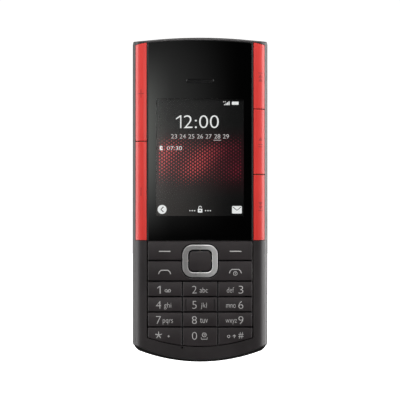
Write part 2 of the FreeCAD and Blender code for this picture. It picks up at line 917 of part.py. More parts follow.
# ---------------------------------------------------------------- keypad
def make_key(name, corners, stem, arcs=None):
    """One key cap with eased front edges and the stem that presses its dome."""
    body = new_body(name)
    plan = Profile(body, "plan", FRONT, S.cap_front)
    plan.loop(corners, arcs)
    pad(plan, S.cap_back - S.cap_front, +1)
    round_edges(body, S.key_edge, at_level("y", S.cap_front), kind="PartDesign::Chamfer")
    post = Profile(body, "stem", FRONT, S.cap_back)
    post.circle(stem[0], stem[1], S.stem_radius)
    pad(post, S.stem_back - S.cap_back, +1)


def column_edges(column):
    """Left and right edge of a keypad column: -1, 0 or 1."""
    near = S.column_split + S.key_gap / 2
    if column == 0:
        return -(S.column_split - S.key_gap / 2), S.column_split - S.key_gap / 2
    return (near, S.key_outer) if column > 0 else (-S.key_outer, -near)


def column_middle(column):
    """Middle of a keypad column."""
    low, high = column_edges(column)
    return (low + high) / 2


ROW_SPLITS = [S.function_bottom, S.row_split_one, S.row_split_two, S.row_split_three]
DIGITS = [("1", "2", "3"), ("4", "5", "6"), ("7", "8", "9"), ("star", "0", "hash")]


def function_keys():
    """Corner loops, arcs and stems of the four keys that wrap the navigation ring."""
    half_wide = S.ring_half_wide + S.ring_clear
    half_high = S.ring_half_high + S.ring_clear
    corner = S.ring_corner + S.ring_clear
    edge = S.key_gap / 2
    near, inner = S.seam / 2, half_wide - corner
    plans = {}
    for name, sign in (("upper", 1), ("lower", -1)):
        ring_end = S.ring_middle + sign * half_high
        shoulder = ring_end - sign * corner
        split = S.function_split + sign * edge
        outer = S.key_top if sign > 0 else S.function_bottom + edge
        plans[name] = [(S.key_outer, outer), (near, outer), (near, ring_end), (inner, ring_end),
                       (half_wide, shoulder), (half_wide, split), (S.key_outer, split)]
    keys = []
    for name, plan, side in (("soft_key_right", "upper", 1), ("soft_key_left", "upper", -1),
                             ("end_key", "lower", 1), ("call_key", "lower", -1)):
        corners = plans[plan]
        reverse = (plan == "lower") == (side > 0)
        corners = [mirrored(point) for point in corners] if side < 0 else corners
        corners = corners[::-1] if reverse else corners
        arcs = {3 if not reverse else 2: (corner, "in")}
        other = S.key_top if plan == "upper" else S.function_bottom
        keys.append((name, corners, (side * column_middle(1), (S.function_split + other) / 2), arcs))
    return keys


def number_keys():
    """Corner loops, arcs and stems of the twelve number keys."""
    edge = S.key_gap / 2
    keys = []
    for row, names in enumerate(DIGITS):
        high = ROW_SPLITS[row] - edge
        for column, name in zip((-1, 0, 1), names):
            left, right = column_edges(column)
            if row < len(DIGITS) - 1:
                low = ROW_SPLITS[row + 1] + edge
                corners = [(left, low), (right, low), (right, high), (left, high)]
                keys.append((f"key_{name}", corners, (column_middle(column), (low + high) / 2), None))
                continue
            no_gap = size(0)
            floor = (left, keypad_floor(left, no_gap)), (right, keypad_floor(right, no_gap))
            corners = [*floor, (right, high), (left, high)]
            stem = (column_middle(column), S.stem_height)
            keys.append((f"key_{name}", corners, stem, {0: (S.key_arc, "out")}))
    return keys


def make_navigation():
    """Ring and centre key, and the rubber pad that lets the ring rock."""
    middle, zero = S.ring_middle, size(0)
    ring = new_body("navigation_ring")
    plan = Profile(ring, "plan", FRONT, S.ring_front)
    plan.rounded_box(zero, middle, S.ring_half_wide, S.ring_half_high, S.ring_corner)
    plan.rounded_box(zero, middle, S.ring_hole_wide, S.ring_hole_high, S.ring_hole_corner)
    pad(plan, S.ring_back - S.ring_front, +1)
    round_edges(ring, S.ring_edge, at_level("y", S.ring_front))

    centre = new_body("centre_key")
    plan = Profile(centre, "plan", FRONT, S.cap_front)
    plan.rounded_box(zero, middle, S.centre_half_wide, S.centre_half_high, S.centre_corner)
    pad(plan, S.cap_back - S.cap_front, +1)
    round_edges(centre, S.key_edge, at_level("y", S.cap_front))
    post = Profile(centre, "stem", FRONT, S.cap_back)
    post.circle(zero, middle, S.stem_radius)
    pad(post, S.stem_back - S.cap_back, +1)

    rubber = new_body("navigation_pad")
    inset = S.running_gap
    wide, high, corner = S.ring_half_wide - inset, S.ring_half_high - inset, S.ring_corner - inset
    plan = Profile(rubber, "plan", FRONT, S.pad_front)
    plan.rounded_box(zero, middle, wide, high, corner)
    plan.rounded_box(zero, middle, S.ring_hole_wide, S.ring_hole_high, S.ring_hole_corner)
    pad(plan, S.pad_back - S.pad_front, +1)
    ribs = Profile(rubber, "ribs", FRONT, S.rib_front)
    near, far = S.ring_hole_high + 0.3, S.ring_half_high - 0.5
    for low, high in ((middle + near, middle + far), (middle - far, middle - near)):
        ribs.box(-S.rib_half, S.rib_half, low, high)
    pad(ribs, S.pad_front - S.rib_front, +1)
    nubs = Profile(rubber, "nubs", FRONT, S.pad_back)
    for x, z in nub_places():
        nubs.circle(x, z, S.nub_radius)
    pad(nubs, S.stem_back - S.pad_back, +1)


def nub_places():
    """The four points on which the navigation ring presses."""
    middle, wide, high = S.ring_middle, S.nub_wide, S.nub_high
    return [(wide, middle), (-wide, middle), (size(0), middle + high), (size(0), middle - high)]


def make_keypad():
    """All the keys, the rubber mat round their stems and the dome sheet below."""
    keys = function_keys() + number_keys()
    for name, corners, stem, arcs in keys:
        make_key(name, corners, stem, arcs)
    make_navigation()
    mat = new_body("keypad_mat")
    half = S.key_outer
    plan = Profile(mat, "plan", FRONT, S.mat_front)
    low_side = keypad_floor(half, size(0))
    corners = [(-half, low_side), (half, low_side), (half, S.key_top), (-half, S.key_top)]
    plan.loop(corners, {0: (S.key_arc, "out")})
    pad(plan, S.mat_back - S.mat_front, +1)
    holes = Profile(mat, "holes", FRONT, S.mat_front - 1)
    for _, _, stem, _ in keys:
        holes.circle(stem[0], stem[1], S.stem_hole)
    holes.circle(size(0), S.ring_middle, S.stem_hole)
    for x, z in nub_places():
        holes.circle(x, z, S.nub_hole)
    pocket(holes, 3, +1)

    domes = new_body("dome_sheet")
    inset = S.film_inset
    plan = Profile(domes, "plan", FRONT, S.board_front - S.film_deep)
    plan.box(-half + inset, half - inset, S.film_low, S.key_top - inset)
    pad(plan, S.film_deep, +1)
    bumps = Profile(domes, "bumps", FRONT, S.board_front - S.film_deep - S.dome_rise)
    for _, _, stem, _ in keys:
        bumps.circle(stem[0], stem[1], S.dome_radius)
    bumps.circle(size(0), S.ring_middle, S.dome_radius)
    pad(bumps, S.dome_rise, +1)


# ---------------------------------------------------------------- boards and small components
def make_boards():
    """Main board with its cans, holders, contacts and small components."""
    board = new_body("main_board")
    plan = board_plan(Profile(board, "plan", FRONT, S.board_front), size(0))
    pad(plan, S.board_back - S.board_front, +1)
    holes = Profile(board, "boss_holes", FRONT, S.board_front - 1)
    for side in (1, -1):
        holes.circle(side * S.top_screw_side, S.top_screw_height, S.boss_radius + S.running_gap)
    pocket(holes, 3, +1)

    can = (S.board_back, S.board_back + 1.25)
    cans = [
        block("processor_can", (-19, 1), can, (26, 46)),
        block("radio_can", (4, 19), can, (26, 50)),
    ]
    keep(group("shield_cans", *cans), "shield_cans")
    holders = [
        block("sim_holder", (-16, 0), can, (-7, 6)),
        block("memory_holder", (2, 15), can, (-6, 6)),
    ]
    keep(group("card_holders", *holders), "card_holders")

    microphone = new_body("microphone")
    plan = Profile(microphone, "plan", FRONT, S.board_front - S.mic_deep)
    plan.box(S.mic_side - S.mic_half, S.mic_side + S.mic_half, S.mic_low, S.mic_high)
    pad(plan, S.mic_deep, +1)
    port_floor = 0.6
    port = Profile(microphone, "port", FRONT, S.board_front - 2)
    port.circle(S.mic_side, S.mic_height, S.mic_port)
    pocket(port, 2 - port_floor, +1)

    back, edge = S.board_back + S.motor_deep, 0.4
    motor = rod("motor_can", "y", S.motor_radius, S.board_back, back, (S.motor_side, S.motor_height))
    keep(soften("vibration_motor", motor, edge, at_level("y", back)), "vibration_motor")


def make_loudspeaker():
    """Loudspeaker box below the battery, facing the slots in the back."""
    half_wide, half_high, corner = size(9), size(5), size(1.5)
    rim, cone_corner, cone_deep = size(1.3), size(1.2), 0.4
    body = new_body("loudspeaker")
    plan = Profile(body, "plan", FRONT, S.speaker_front)
    plan.rounded_box(S.speaker_side, S.speaker_height, half_wide, half_high, corner)
    pad(plan, S.speaker_deep, +1)
    back = S.speaker_front + S.speaker_deep
    cone = Profile(body, "cone", FRONT, back + 1)
    cone.rounded_box(S.speaker_side, S.speaker_height, half_wide - rim, half_high - rim, cone_corner)
    pocket(cone, 1 + cone_deep, -1)


def make_sockets():
    """Headset socket and USB socket in the top edge."""
    jack = new_body("headset_socket")
    base = Profile(jack, "base", ABOVE, S.jack_body_low)
    low, high = S.jack_side - S.jack_body_half, S.jack_side + S.jack_body_half
    base.box(low, high, S.board_back, S.board_back + S.jack_body_deep)
    pad(base, S.jack_body_high - S.jack_body_low, +1)
    collar = Profile(jack, "collar", ABOVE, S.jack_body_high)
    collar.circle(S.jack_side, S.jack_level, S.jack_collar)
    pad(collar, S.socket_end - S.jack_body_high, +1)
    bore = Profile(jack, "bore", ABOVE, S.socket_end + 1)
    bore.circle(S.jack_side, S.jack_level, S.jack_bore)
    pocket(bore, S.socket_end + 1 - S.jack_floor, -1)

    usb = new_body("usb_socket")
    left, right = S.usb_side - S.usb_half, S.usb_side + S.usb_half
    front, wall = S.board_back, S.usb_wall
    shell = Profile(usb, "shell", ABOVE, S.usb_low)
    shell.box(left, right, front, front + S.usb_deep)
    pad(shell, S.socket_end - S.usb_low, +1)
    mouth = Profile(usb, "mouth", ABOVE, S.socket_end + 1)
    mouth.box(left + wall, right - wall, front + wall, front + S.usb_deep - wall)
    pocket(mouth, S.socket_end - S.usb_low, -1)
    inset = S.usb_tongue_inset
    tongue = Profile(usb, "tongue", ABOVE, S.usb_low + 0.5)
    tongue.box(left + inset, right - inset, front + S.usb_tongue_front, front + S.usb_tongue_back)
    pad(tongue, S.socket_end - S.usb_low - 1.2, +1)


def make_camera():
    """Camera module, its window and the flash lamp, behind the island on the back."""
    side, height, half = S.camera_side, S.camera_height, S.camera_half
    module = new_body("camera_module")
    base = Profile(module, "base", FRONT, S.camera_front)
    base.box(side - half, side + half, height - half, height + half)
    pad(base, S.barrel_front - S.camera_front, +1)
    barrel = Profile(module, "barrel", FRONT, S.barrel_front)
    barrel.circle(side, height, S.barrel_radius)
    pad(barrel, S.barrel_back - S.barrel_front, +1)
    pupil = Profile(module, "pupil", FRONT, S.barrel_back + 1)
    pupil.circle(side, height, S.pupil_radius)
    pocket(pupil, S.barrel_back + 1 - S.pupil_floor, -1)

    window = new_body("camera_window")
    plan = Profile(window, "plan", FRONT, S.lens_front)
    plan.circle(side, height, S.lens_radius)
    pad(plan, S.lens_back - S.lens_front, +1)
    lamp = new_body("flash_lamp")
    plan = Profile(lamp, "plan", FRONT, S.lamp_front)
    plan.circle(S.flash_side, height, S.lamp_radius)
    pad(plan, S.lens_back - S.lamp_front, +1)
    round_edges(lamp, S.lamp_round, at_level("y", S.lens_back))


def make_battery():
    """Battery, its spring contacts and the chassis plate it lies on."""
    half, low, high, rim = 25.5, -49.5, 51.5, 1.0
    hatch_half, hatch_low, hatch_high = 17, -9, 8
    chassis = new_body("chassis")
    plan = Profile(chassis, "plan", FRONT, S.chassis_front)
    plan.box(-half, half, low, high)
    pad(plan, S.chassis_back - S.chassis_front, +1)
    hatch = Profile(chassis, "card_hatch", FRONT, S.chassis_front - 1)
    hatch.box(-hatch_half, hatch_half, hatch_low, hatch_high)
    pocket(hatch, 3, +1)
    rims = Profile(chassis, "rims", FRONT, S.chassis_back)
    for left, right in ((-half, rim - half), (half - rim, half)):
        rims.box(left, right, low, high)
    pad(rims, rim, +1)

    wide, edge = (-S.battery_half, S.battery_half), 0.6
    deep, tall = (S.battery_front, S.battery_back), (S.battery_low, S.battery_high)
    cell = block("battery_block", wide, deep, tall)
    keep(soften("battery", cell, edge, along("z")), "battery")

    springs = []
    half_foot, back, foot = 0.6, 2.2, (15.1, 16.3)
    for number, x in enumerate((-4.0, 0.0, 4.0)):
        blank = block(f"contact_foot_{number}", (x - half_foot, x + half_foot), (S.chassis_back, back), foot)
        springs.append(soften(f"contact_{number}", blank, half_foot / 2, along("x")))
    keep(group("battery_contacts", *springs), "battery_contacts")


# ---------------------------------------------------------------- earbuds
def bud_plan(profile, side, grow):
    """Plan of an earbud, head and stem, grown by a clearance, as one closed loop."""
    radius = S.bud_radius + grow
    outer = S.stem_side + S.stem_half + grow
    inner = S.stem_side - S.stem_half - grow
    low, round_low = S.stem_low - grow, S.stem_half + grow
    outer_meet = S.bud_height - (radius * radius - (outer - S.bud_side) * (outer - S.bud_side)).root()
    inner_meet = S.bud_height - (radius * radius - (inner - S.bud_side) * (inner - S.bud_side)).root()
    top, left = S.bud_height + radius, S.bud_side - radius
    right = S.bud_side + radius
    middle, height = S.bud_side, S.bud_height
    corners = [
        (inner, low + round_low), (S.stem_side, low), (outer, low + round_low), (outer, outer_meet),
        (right, height), (middle, top), (left, height), (inner, inner_meet),
    ]
    arcs = {0: (round_low, "out"), 1: (round_low, "out")}
    arcs.update({edge: (radius, "out") for edge in (3, 4, 5, 6)})
    if side < 0:
        corners = [mirrored(point) for point in corners[::-1]]
        arcs = {(len(corners) - 2 - edge) % len(corners): arc for edge, arc in arcs.items()}
    return profile.loop(corners, arcs)


def ease_meets(body, radius):
    """Round the two inward corners where the stem's sides meet the head, on either side."""
    def test(edge):
        spot = edge_points(edge)[0]
        offset = abs(abs(spot.x) - S.stem_side.value)
        near_side = S.stem_half.value - 0.5 < offset < S.stem_half.value + 0.5
        return near_side and S.stem_low.value + 8 < spot.z < S.bud_height.value - 1

    round_edges(body, radius, along("y"), test)


def make_earbuds():
    """Two earbuds with touch caps, in a tray with two wells and four charge pins."""
    pins, caps = [], []
    for side, name in ((1, "earbud_right"), (-1, "earbud_left")):
        bud = new_body(name)
        plan = bud_plan(Profile(bud, "plan", FRONT, S.bud_front), side, size(0))
        pad(plan, S.bud_back - S.bud_front, +1)
        ease_meets(bud, S.bud_meet)
        round_edges(bud, S.bud_round_back, at_level("y", S.bud_back))
        round_edges(bud, S.bud_round_front, at_level("y", S.bud_front))
        centre = (side * S.bud_side, S.bud_height)
        recess = Profile(bud, "cap_seat", FRONT, S.bud_back + 1)
        recess.circle(*centre, S.cap_radius + 0.1)
        pocket(recess, 1 + S.cap_sunk, -1)
        front, back = S.bud_back - S.cap_sunk, S.bud_back + S.cap_proud
        cap = rod(f"{name}_disc", "y", S.cap_radius, front, back, centre)
        caps.append(soften(f"{name}_cap", cap, S.cap_round, at_level("y", back)))
        for shift in (-S.pin_side, S.pin_side):
            spot = (side * S.stem_side + shift, S.pin_level)
            pins.append(rod(f"{name}_pin_{len(pins)}", "z", S.pin_radius, S.pin_low, S.pin_high, spot))
    keep(group("earbud_caps", *caps), "earbud_caps")
    keep(group("charge_pins", *pins), "charge_pins")

    tray = new_body("earbud_tray")
    plan = Profile(tray, "plan", FRONT, S.tray_front)
    plan.box(-S.tray_half, S.tray_half, S.tray_low, S.tray_high)
    pad(plan, S.rear_level - S.tray_front, +1)
    wells = Profile(tray, "wells", FRONT, S.rear_level + 1)
    for side in (1, -1):
        bud_plan(wells, side, S.bud_clear)
    pocket(wells, S.rear_level + 1 - S.bud_front + S.well_floor, -1)
    ease_meets(tray, S.bud_meet - S.bud_clear)
    round_edges(tray, S.bud_clear, at_level("y", S.rear_level), inside_tray, kind="PartDesign::Chamfer")
    fit = 0.06
    sockets = Profile(tray, "pin_bores", ABOVE, S.pin_low - 0.1)
    for side in (1, -1):
        for shift in (-S.pin_side, S.pin_side):
            sockets.circle(side * S.stem_side + shift, S.pin_level, S.pin_radius + fit)
    pocket(sockets, S.pin_high - S.pin_low + 0.5, +1)


def inside_tray(edge):
    """Test for edges clear of the tray's outer rim."""
    rim = 0.5
    return all(
        abs(point.x) < S.tray_half.value - rim and S.tray_low.value + rim < point.z < S.tray_high.value - rim
        for point in edge_points(edge)
    )


# ---------------------------------------------------------------- rear housing
def make_rear_housing():
    """Fixed rear shell: top cap, camera island, guide grooves and openings."""
    body = new_body("rear_housing")
    plan = Profile(body, "plan", FRONT, S.split_level)
    full_outline(plan, size(0), S.bottom_edge)
    pad(plan, S.back_level - S.split_level, +1)
    round_sides(body, "sides", S.half_width, S.back_level, S.back_round, -1)
    round_edges(body, S.end_round, end_rims(lambda y: y > S.cover_front.value + 1))

    waist = Profile(body, "waist", FRONT, S.split_level - 1)
    outside_outline(waist, S.rear_inset, S.bottom_edge + S.rear_inset, S.cap_bottom, size(90))
    pocket(waist, 12, +1)
    back = Profile(body, "back_step", FRONT, S.rear_level)
    half, low, top = S.island_half, S.island_bottom, S.cap_bottom
    far = 90
    corners = [(-far, -far), (far, -far), (far, top), (half, top), (half, low), (-half, low), (-half, top)]
    back.loop([*corners, (-far, top)])
    pocket(back, 5, +1)
    island_corner = 1.6
    round_edges(body, island_corner, along("y"), starts_at("z", low), behind(S.rear_level.value))
    hollow_rear(body)

    boss, clearance, head = 2.3, 0.85, 1.45
    bosses = Profile(body, "bosses", FRONT, S.split_level)
    for x, z in screw_places():
        bosses.circle(x, z, boss)
    pad(bosses, S.rear_wall - S.split_level, +1)
    clear = Profile(body, "screw_clearance", FRONT, S.split_level - 1)
    heads = Profile(body, "screw_heads", FRONT, S.rear_level + 1)
    for x, z in screw_places():
        clear.circle(x, z, clearance)
        heads.circle(x, z, head)
    pocket(clear, 6, +1)
    pocket(heads, 2.0, -1)
    open_rear(body)


def starts_at(axis, level):
    """Test for edges whose first end lies at a level on an axis, on either side."""
    target = abs(level.value)
    return lambda edge: abs(abs(getattr(edge_points(edge)[0], axis)) - target) < SAME_PLACE


def behind(limit):
    """Test for edges whose middle lies behind a level."""
    return lambda edge: edge_points(edge)[-1].y > limit


def hollow_rear(body):
    """Cavity of the rear housing, rail grooves and the openings for tray, battery and door."""
    wide, lowest, highest = size(22.4), size(-66.4), 63.8
    cavity = Profile(body, "cavity", FRONT, S.split_level - 1)
    low_side = arc_height(lowest, S.bottom_arc, wide, -1)
    corners = [(-wide, low_side), (wide, low_side), (wide, highest), (-wide, highest)]
    cavity.loop(corners, {0: (S.bottom_arc, "out")})
    pocket(cavity, S.rear_wall - S.split_level + 1, +1)

    side_fit, end_fit = 0.05, 0.1
    reach = S.rail_half + side_fit
    for side, name in ((1, "right_groove"), (-1, "left_groove")):
        groove = Profile(body, name, FRONT, S.rear_level + 1)
        middle = side * S.rail_middle
        groove.box(middle - reach, middle + reach, S.rail_low - end_fit, S.rail_high + end_fit)
        pocket(groove, S.rail_depth + 1.0, -1)

    fit, ledge, seat_fit, door_deep = 0.1, 1.2, 0.15, 0.85
    openings = Profile(body, "openings", FRONT, S.rear_wall - 1)
    openings.box(-S.tray_half - fit, S.tray_half + fit, S.tray_low - fit, S.tray_high + fit)
    openings.box(-S.door_half + ledge, S.door_half - ledge, S.door_low + ledge, S.door_high - ledge)
    pocket(openings, 3, +1)
    seat = Profile(body, "door_seat", FRONT, S.rear_level + 1)
    wide = S.door_half + seat_fit
    seat.box(-wide, wide, S.door_low - seat_fit, S.door_high + seat_fit)
    pocket(seat, 1 + door_deep, -1)


def open_rear(body):
    """Holes for camera and lamp, the loudspeaker's slots and the springs' seats."""
    fit, slot_half, slot_high = 0.1, 0.6, 2.5
    lights = Profile(body, "camera_holes", FRONT, S.rear_wall - 1)
    lights.circle(S.camera_side, S.camera_height, S.lens_radius + fit)
    lights.circle(S.flash_side, S.camera_height, S.lamp_radius + fit)
    pocket(lights, 5, +1)

    slots = Profile(body, "speaker_slots", FRONT, S.rear_wall - 1)
    for x in speaker_slots():
        slots.box(x - slot_half, x + slot_half, S.speaker_height - slot_high, S.speaker_height + slot_high)
    pocket(slots, 3, +1)

    half_wide, half_high, deep = 3.4, 1.2, 0.8
    seats = Profile(body, "spring_seats", FRONT, S.rear_level + 1)
    for x in spring_places():
        seats.box(x - half_wide, x + half_wide, S.spring_height - half_high, S.spring_height + half_high)
    pocket(seats, 1 + deep, -1)


def speaker_slots():
    """X of the middle of each loudspeaker slot."""
    return [S.speaker_first + number * S.speaker_pitch for number in range(5)]


def spring_places():
    """X of the two detent springs."""
    return (S.spring_side, -S.spring_side)


def screw_places():
    """Plan places of the four housing screws."""
    places = []
    for side in (1, -1):
        places.append((side * S.top_screw_side, S.top_screw_height))
        places.append((side * S.low_screw_side, S.low_screw_height))
    return places


def make_rear_fittings():
    """Battery door, screws, slide rails and detent springs."""
    thick, notch_wide, notch_high, notch_corner = 0.8, size(3.5), size(0.9), size(0.6)
    door = new_body("battery_door")
    plan = Profile(door, "plan", FRONT, S.rear_level - thick)
    plan.box(-S.door_half, S.door_half, S.door_low, S.door_high)
    pad(plan, thick, +1)
    notch = Profile(door, "nail_notch", FRONT, S.rear_level + 1)
    notch.rounded_box(size(0), S.door_low + 2.2, notch_wide, notch_high, notch_corner)
    pocket(notch, 1.4, -1)
    keep(group("housing_screws", *new_screws()), "housing_screws")
    keep(group("slide_rails", *new_rails()), "slide_rails")
    keep(group("detent_springs", *new_springs()), "detent_springs")


def new_screws():
    """Four screws with crossed slots in their heads."""
    head_radius, shank_radius, tip = 1.25, 0.65, -2.0
    under, over, floor = S.rear_wall + 0.15, S.rear_wall + 0.95, S.rear_wall + 0.65
    half, reach = 0.15, 0.9
    screws = []
    for number, (x, z) in enumerate(screw_places()):
        head = rod(f"screw_head_{number}", "y", head_radius, under, over, (x, z))
        shank = rod(f"screw_shank_{number}", "y", shank_radius, tip, under, (x, z))
        deep = (floor, over + 1)
        slot = block(f"screw_slot_{number}", (x - half, x + half), deep, (z - reach, z + reach))
        cross = block(f"screw_cross_{number}", (x - reach, x + reach), deep, (z - half, z + half))
        blank = fuse(f"screw_blank_{number}", head, shank)
        screws.append(cut(f"screw_{number}", blank, slot, cross))
    return screws


def new_springs():
    """Two leaf springs with a bump that clicks into the slider's plate."""
    half_wide, half_high, top, thick = 3.2, 1.0, 0.6, 0.2
    springs = []
    leaf = (S.rear_level - top - thick, S.rear_level - top)
    low, high = S.spring_height - half_high, S.spring_height + half_high
    for number, x in enumerate(spring_places()):
        strip = block(f"spring_strip_{number}", (x - half_wide, x + half_wide), leaf, (low, high))
        middle = (x, S.rear_level - top - thick / 2)
        bump = rod(f"spring_bump_{number}", "z", S.spring_bump, low, high, middle)
        under = (S.rear_level - 3, S.rear_level - top - thick)
        below = block(f"spring_below_{number}", (x - 2, x + 2), under, (low - 1, high + 1))
        blank = fuse(f"detent_blank_{number}", strip, bump)
        springs.append(cut(f"detent_{number}", blank, below))
    return springs


def new_rails():
    """Two steel channels whose lips hold the slider's runners."""
    rails = []
    back, wall = S.rear_level, S.rail_wall
    floor = back - S.rail_depth
    whole, past = (S.rail_low, S.rail_high), (S.rail_low - 1, S.rail_high + 1)
    half = S.rail_half
    for tag, side in SIDES:
        middle = side * S.rail_middle
        outer = block(f"rail_outer_{tag}", (middle - half, middle + half), (floor, back), whole)
        across = (middle - half + wall, middle + half - wall)
        inner = block(f"rail_inner_{tag}", across, (floor + wall, back - wall), past)
        across = (middle - S.rail_slot, middle + S.rail_slot)
        slot = block(f"rail_slot_{tag}", across, (back - 2 * wall, back + 1), past)
        rails.append(cut(f"rail_{tag}", outer, inner, slot))
    return rails


# ---------------------------------------------------------------- slider
def make_slider():
    """Rear cover that slides down, its steel plate, its runners and its side grips."""
    make_cover()
    make_plate()
    runners = []
    for tag, side in SIDES:
        middle = side * S.rail_middle
        head_back = S.rear_level - S.rail_wall - 0.2
        tall, head, neck = (S.runner_low, S.runner_high), S.runner_head, S.runner_neck
        deep = (head_back - 0.5, head_back)
        head = block(f"runner_head_{tag}", (middle - head, middle + head), deep, tall)
        deep = (head_back - 0.1, S.plate_front)
        neck = block(f"runner_neck_{tag}", (middle - neck, middle + neck), deep, tall)
        runners.append(fuse(f"runner_{tag}", head, neck))
    keep(group("slide_runners", *runners), "slide_runners")

    grips, edge = [], 0.15
    deep, tall = (S.grip_front, S.grip_back), (S.grip_low, S.grip_high)
    for tag, side in SIDES:
        across = (S.grip_inner, S.grip_outer) if side > 0 else (-S.grip_outer, -S.grip_inner)
        blank = block(f"grip_blank_{tag}", across, deep, tall)
        grips.append(soften(f"grip_{tag}", blank, edge, at_level("x", side * S.grip_outer)))
    keep(group("side_grips", *grips), "side_grips")


def make_cover():
    """The slider's moulded cover, with its camera notch and loudspeaker slots."""
    cover = new_body("slider_cover")
    plan = Profile(cover, "plan", FRONT, S.cover_front)
    full_outline(plan, size(0), S.bottom_edge)
    pad(plan, S.back_level - S.cover_front, +1)
    round_sides(cover, "sides", S.half_width, S.back_level, S.back_round, -1)
    round_edges(cover, S.end_round, end_rims(lambda y: y > S.cover_front.value + 1))
    far = 90
    top = Profile(cover, "top_cut", FRONT, S.cover_front - 1)
    top.box(-far, far, S.slider_top, far)
    pocket(top, 10, +1)
    inside = Profile(cover, "inside", FRONT, S.cover_front - 1)
    open_outline(inside, S.cover_wall, S.bottom_edge + S.cover_wall, size(far))
    pocket(inside, S.cover_inside - S.cover_front + 1, +1)
    wall = S.half_width - S.cover_wall
    round_edges(cover, S.inside_round, along("z"), at_level("y", S.cover_inside), starts_at("x", wall))
    gap, corner = S.running_gap, 1.9
    notch = Profile(cover, "camera_notch", FRONT, S.cover_front - 1)
    notch.box(-S.island_half - gap, S.island_half + gap, S.island_bottom - gap, far)
    pocket(notch, 10, +1)
    round_edges(cover, corner, along("y"), starts_at("z", S.island_bottom - gap))
    half, high, ends = size(0.6), size(2.5), size(0.55)
    slots = Profile(cover, "speaker_slots", FRONT, S.cover_inside - 1)
    for x in speaker_slots():
        slots.rounded_box(x, S.speaker_height, half, high, ends)
    pocket(slots, 3, +1)
    fit, out = S.grip_gap, 40
    for name, level, toward in (("grip_seats", -out, +1), ("grip_seats_right", out, -1)):
        seats = Profile(cover, name, SIDE, level)
        seats.box(S.grip_front - fit, S.grip_back + fit, S.grip_low - fit, S.grip_high + fit)
        pocket(seats, out + 0.03 - S.grip_inner, toward)


def make_plate():
    """The slider's steel plate, with its camera gap, detent holes and loudspeaker window."""
    half, low, high = S.rail_middle + S.rail_half, -60, 62
    gap_half, gap_low = 12, 51
    plate = new_body("slider_plate")
    plan = Profile(plate, "plan", FRONT, S.plate_front)
    corners = [(-half, low), (half, low), (half, high), (gap_half, high), (gap_half, gap_low)]
    plan.loop([*corners, (-gap_half, gap_low), (-gap_half, high), (-half, high)])
    pad(plan, S.cover_inside - S.plate_front, +1)
    margin_wide, margin_high = 6.4, 3.0
    holes = Profile(plate, "holes", FRONT, S.plate_front - 1)
    for x in spring_places():
        for drop in (size(0), S.slide_travel):
            holes.circle(x, S.spring_height + drop, S.plate_hole)
    side, height = S.speaker_side, S.speaker_height
    holes.box(side - margin_wide, side + margin_wide, height - margin_high, height + margin_high)
    pocket(holes, 3, +1)


# ---------------------------------------------------------------- build, check and write
def main():
    """Make every piece, check it and write one file for each."""
    steps = (
        make_front_housing, make_front_window, make_display_panel, make_earpiece, make_side_keys,
        make_keypad, make_boards, make_loudspeaker, make_sockets, make_camera, make_battery,
        make_earbuds, make_rear_housing, make_rear_fittings, make_slider,
    )
    for make in steps:
        make()
    doc.recompute()
    for item in doc.Objects:
        if "Invalid" in item.State or "Error" in item.State:
            raise RuntimeError(f"{item.Label} is {item.State}")
    os.makedirs("parts", exist_ok=True)
    for item in nodes:
        shape = item.Shape
        if shape.isNull() or not shape.isValid() or not shape.Solids:
            raise RuntimeError(f"{item.Label} has no valid solid")
        shape.exportStep(f"parts/{item.Label}.step")
        print(f"{item.Label}: {len(shape.Solids)} solid(s), {shape.Volume:.1f} mm3")
    print(f"{len(nodes)} pieces")


main()
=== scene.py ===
"""Looks of a slider phone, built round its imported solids: finishes, marks, screen, fittings."""

import logging
import math
from dataclasses import dataclass, field
from enum import Enum
from typing import Any, Callable, Sequence

import bmesh
import bpy
from bpy.types import Material, Mesh, Object
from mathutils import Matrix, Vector
from mathutils.bvhtree import BVHTree


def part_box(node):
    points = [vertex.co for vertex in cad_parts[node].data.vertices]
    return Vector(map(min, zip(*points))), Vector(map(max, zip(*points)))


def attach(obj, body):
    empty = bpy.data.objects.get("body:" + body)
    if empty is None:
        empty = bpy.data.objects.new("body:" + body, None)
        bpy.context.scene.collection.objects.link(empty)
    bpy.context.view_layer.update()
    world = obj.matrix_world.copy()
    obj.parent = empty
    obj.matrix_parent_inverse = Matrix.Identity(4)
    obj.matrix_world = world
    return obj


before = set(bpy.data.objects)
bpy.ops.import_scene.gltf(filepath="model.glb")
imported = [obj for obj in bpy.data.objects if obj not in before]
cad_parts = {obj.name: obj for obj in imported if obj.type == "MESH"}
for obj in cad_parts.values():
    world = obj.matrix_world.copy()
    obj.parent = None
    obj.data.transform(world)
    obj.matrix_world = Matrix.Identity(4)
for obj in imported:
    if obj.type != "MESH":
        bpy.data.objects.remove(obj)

LOG = logging.getLogger("phone")
MM = 0.001
UPRIGHT = (math.pi / 2, 0.0, 0.0)  # turns what lies flat in X and Y to face the front
WELD = 1e-7  # points closer than this, in metres, are one
LIFT = 0.005  # gap in mm between a mark and the surface under it
OUTSIDE = 0.02  # a depth in metres that clears the phone on both sides

Point = tuple[float, float]
Triple = tuple[float, float, float]
Box = tuple[float, float, float, float]


# ---------------------------------------------------------------- node trees


def operator(operation: str, turned: bool = False) -> Callable[["Wire", Any], "Wire"]:
    """Writes a method for wires that adds one Math node.

    Args:
        operation: the node's operation.
        turned: whether the other value comes first.

    Returns:
        The method, which takes a number or a wire.
    """

    def method(self: "Wire", other: Any) -> "Wire":
        """The result of the node on this wire and another value."""
        return self.tree.math(operation, *((other, self) if turned else (self, other)))

    return method


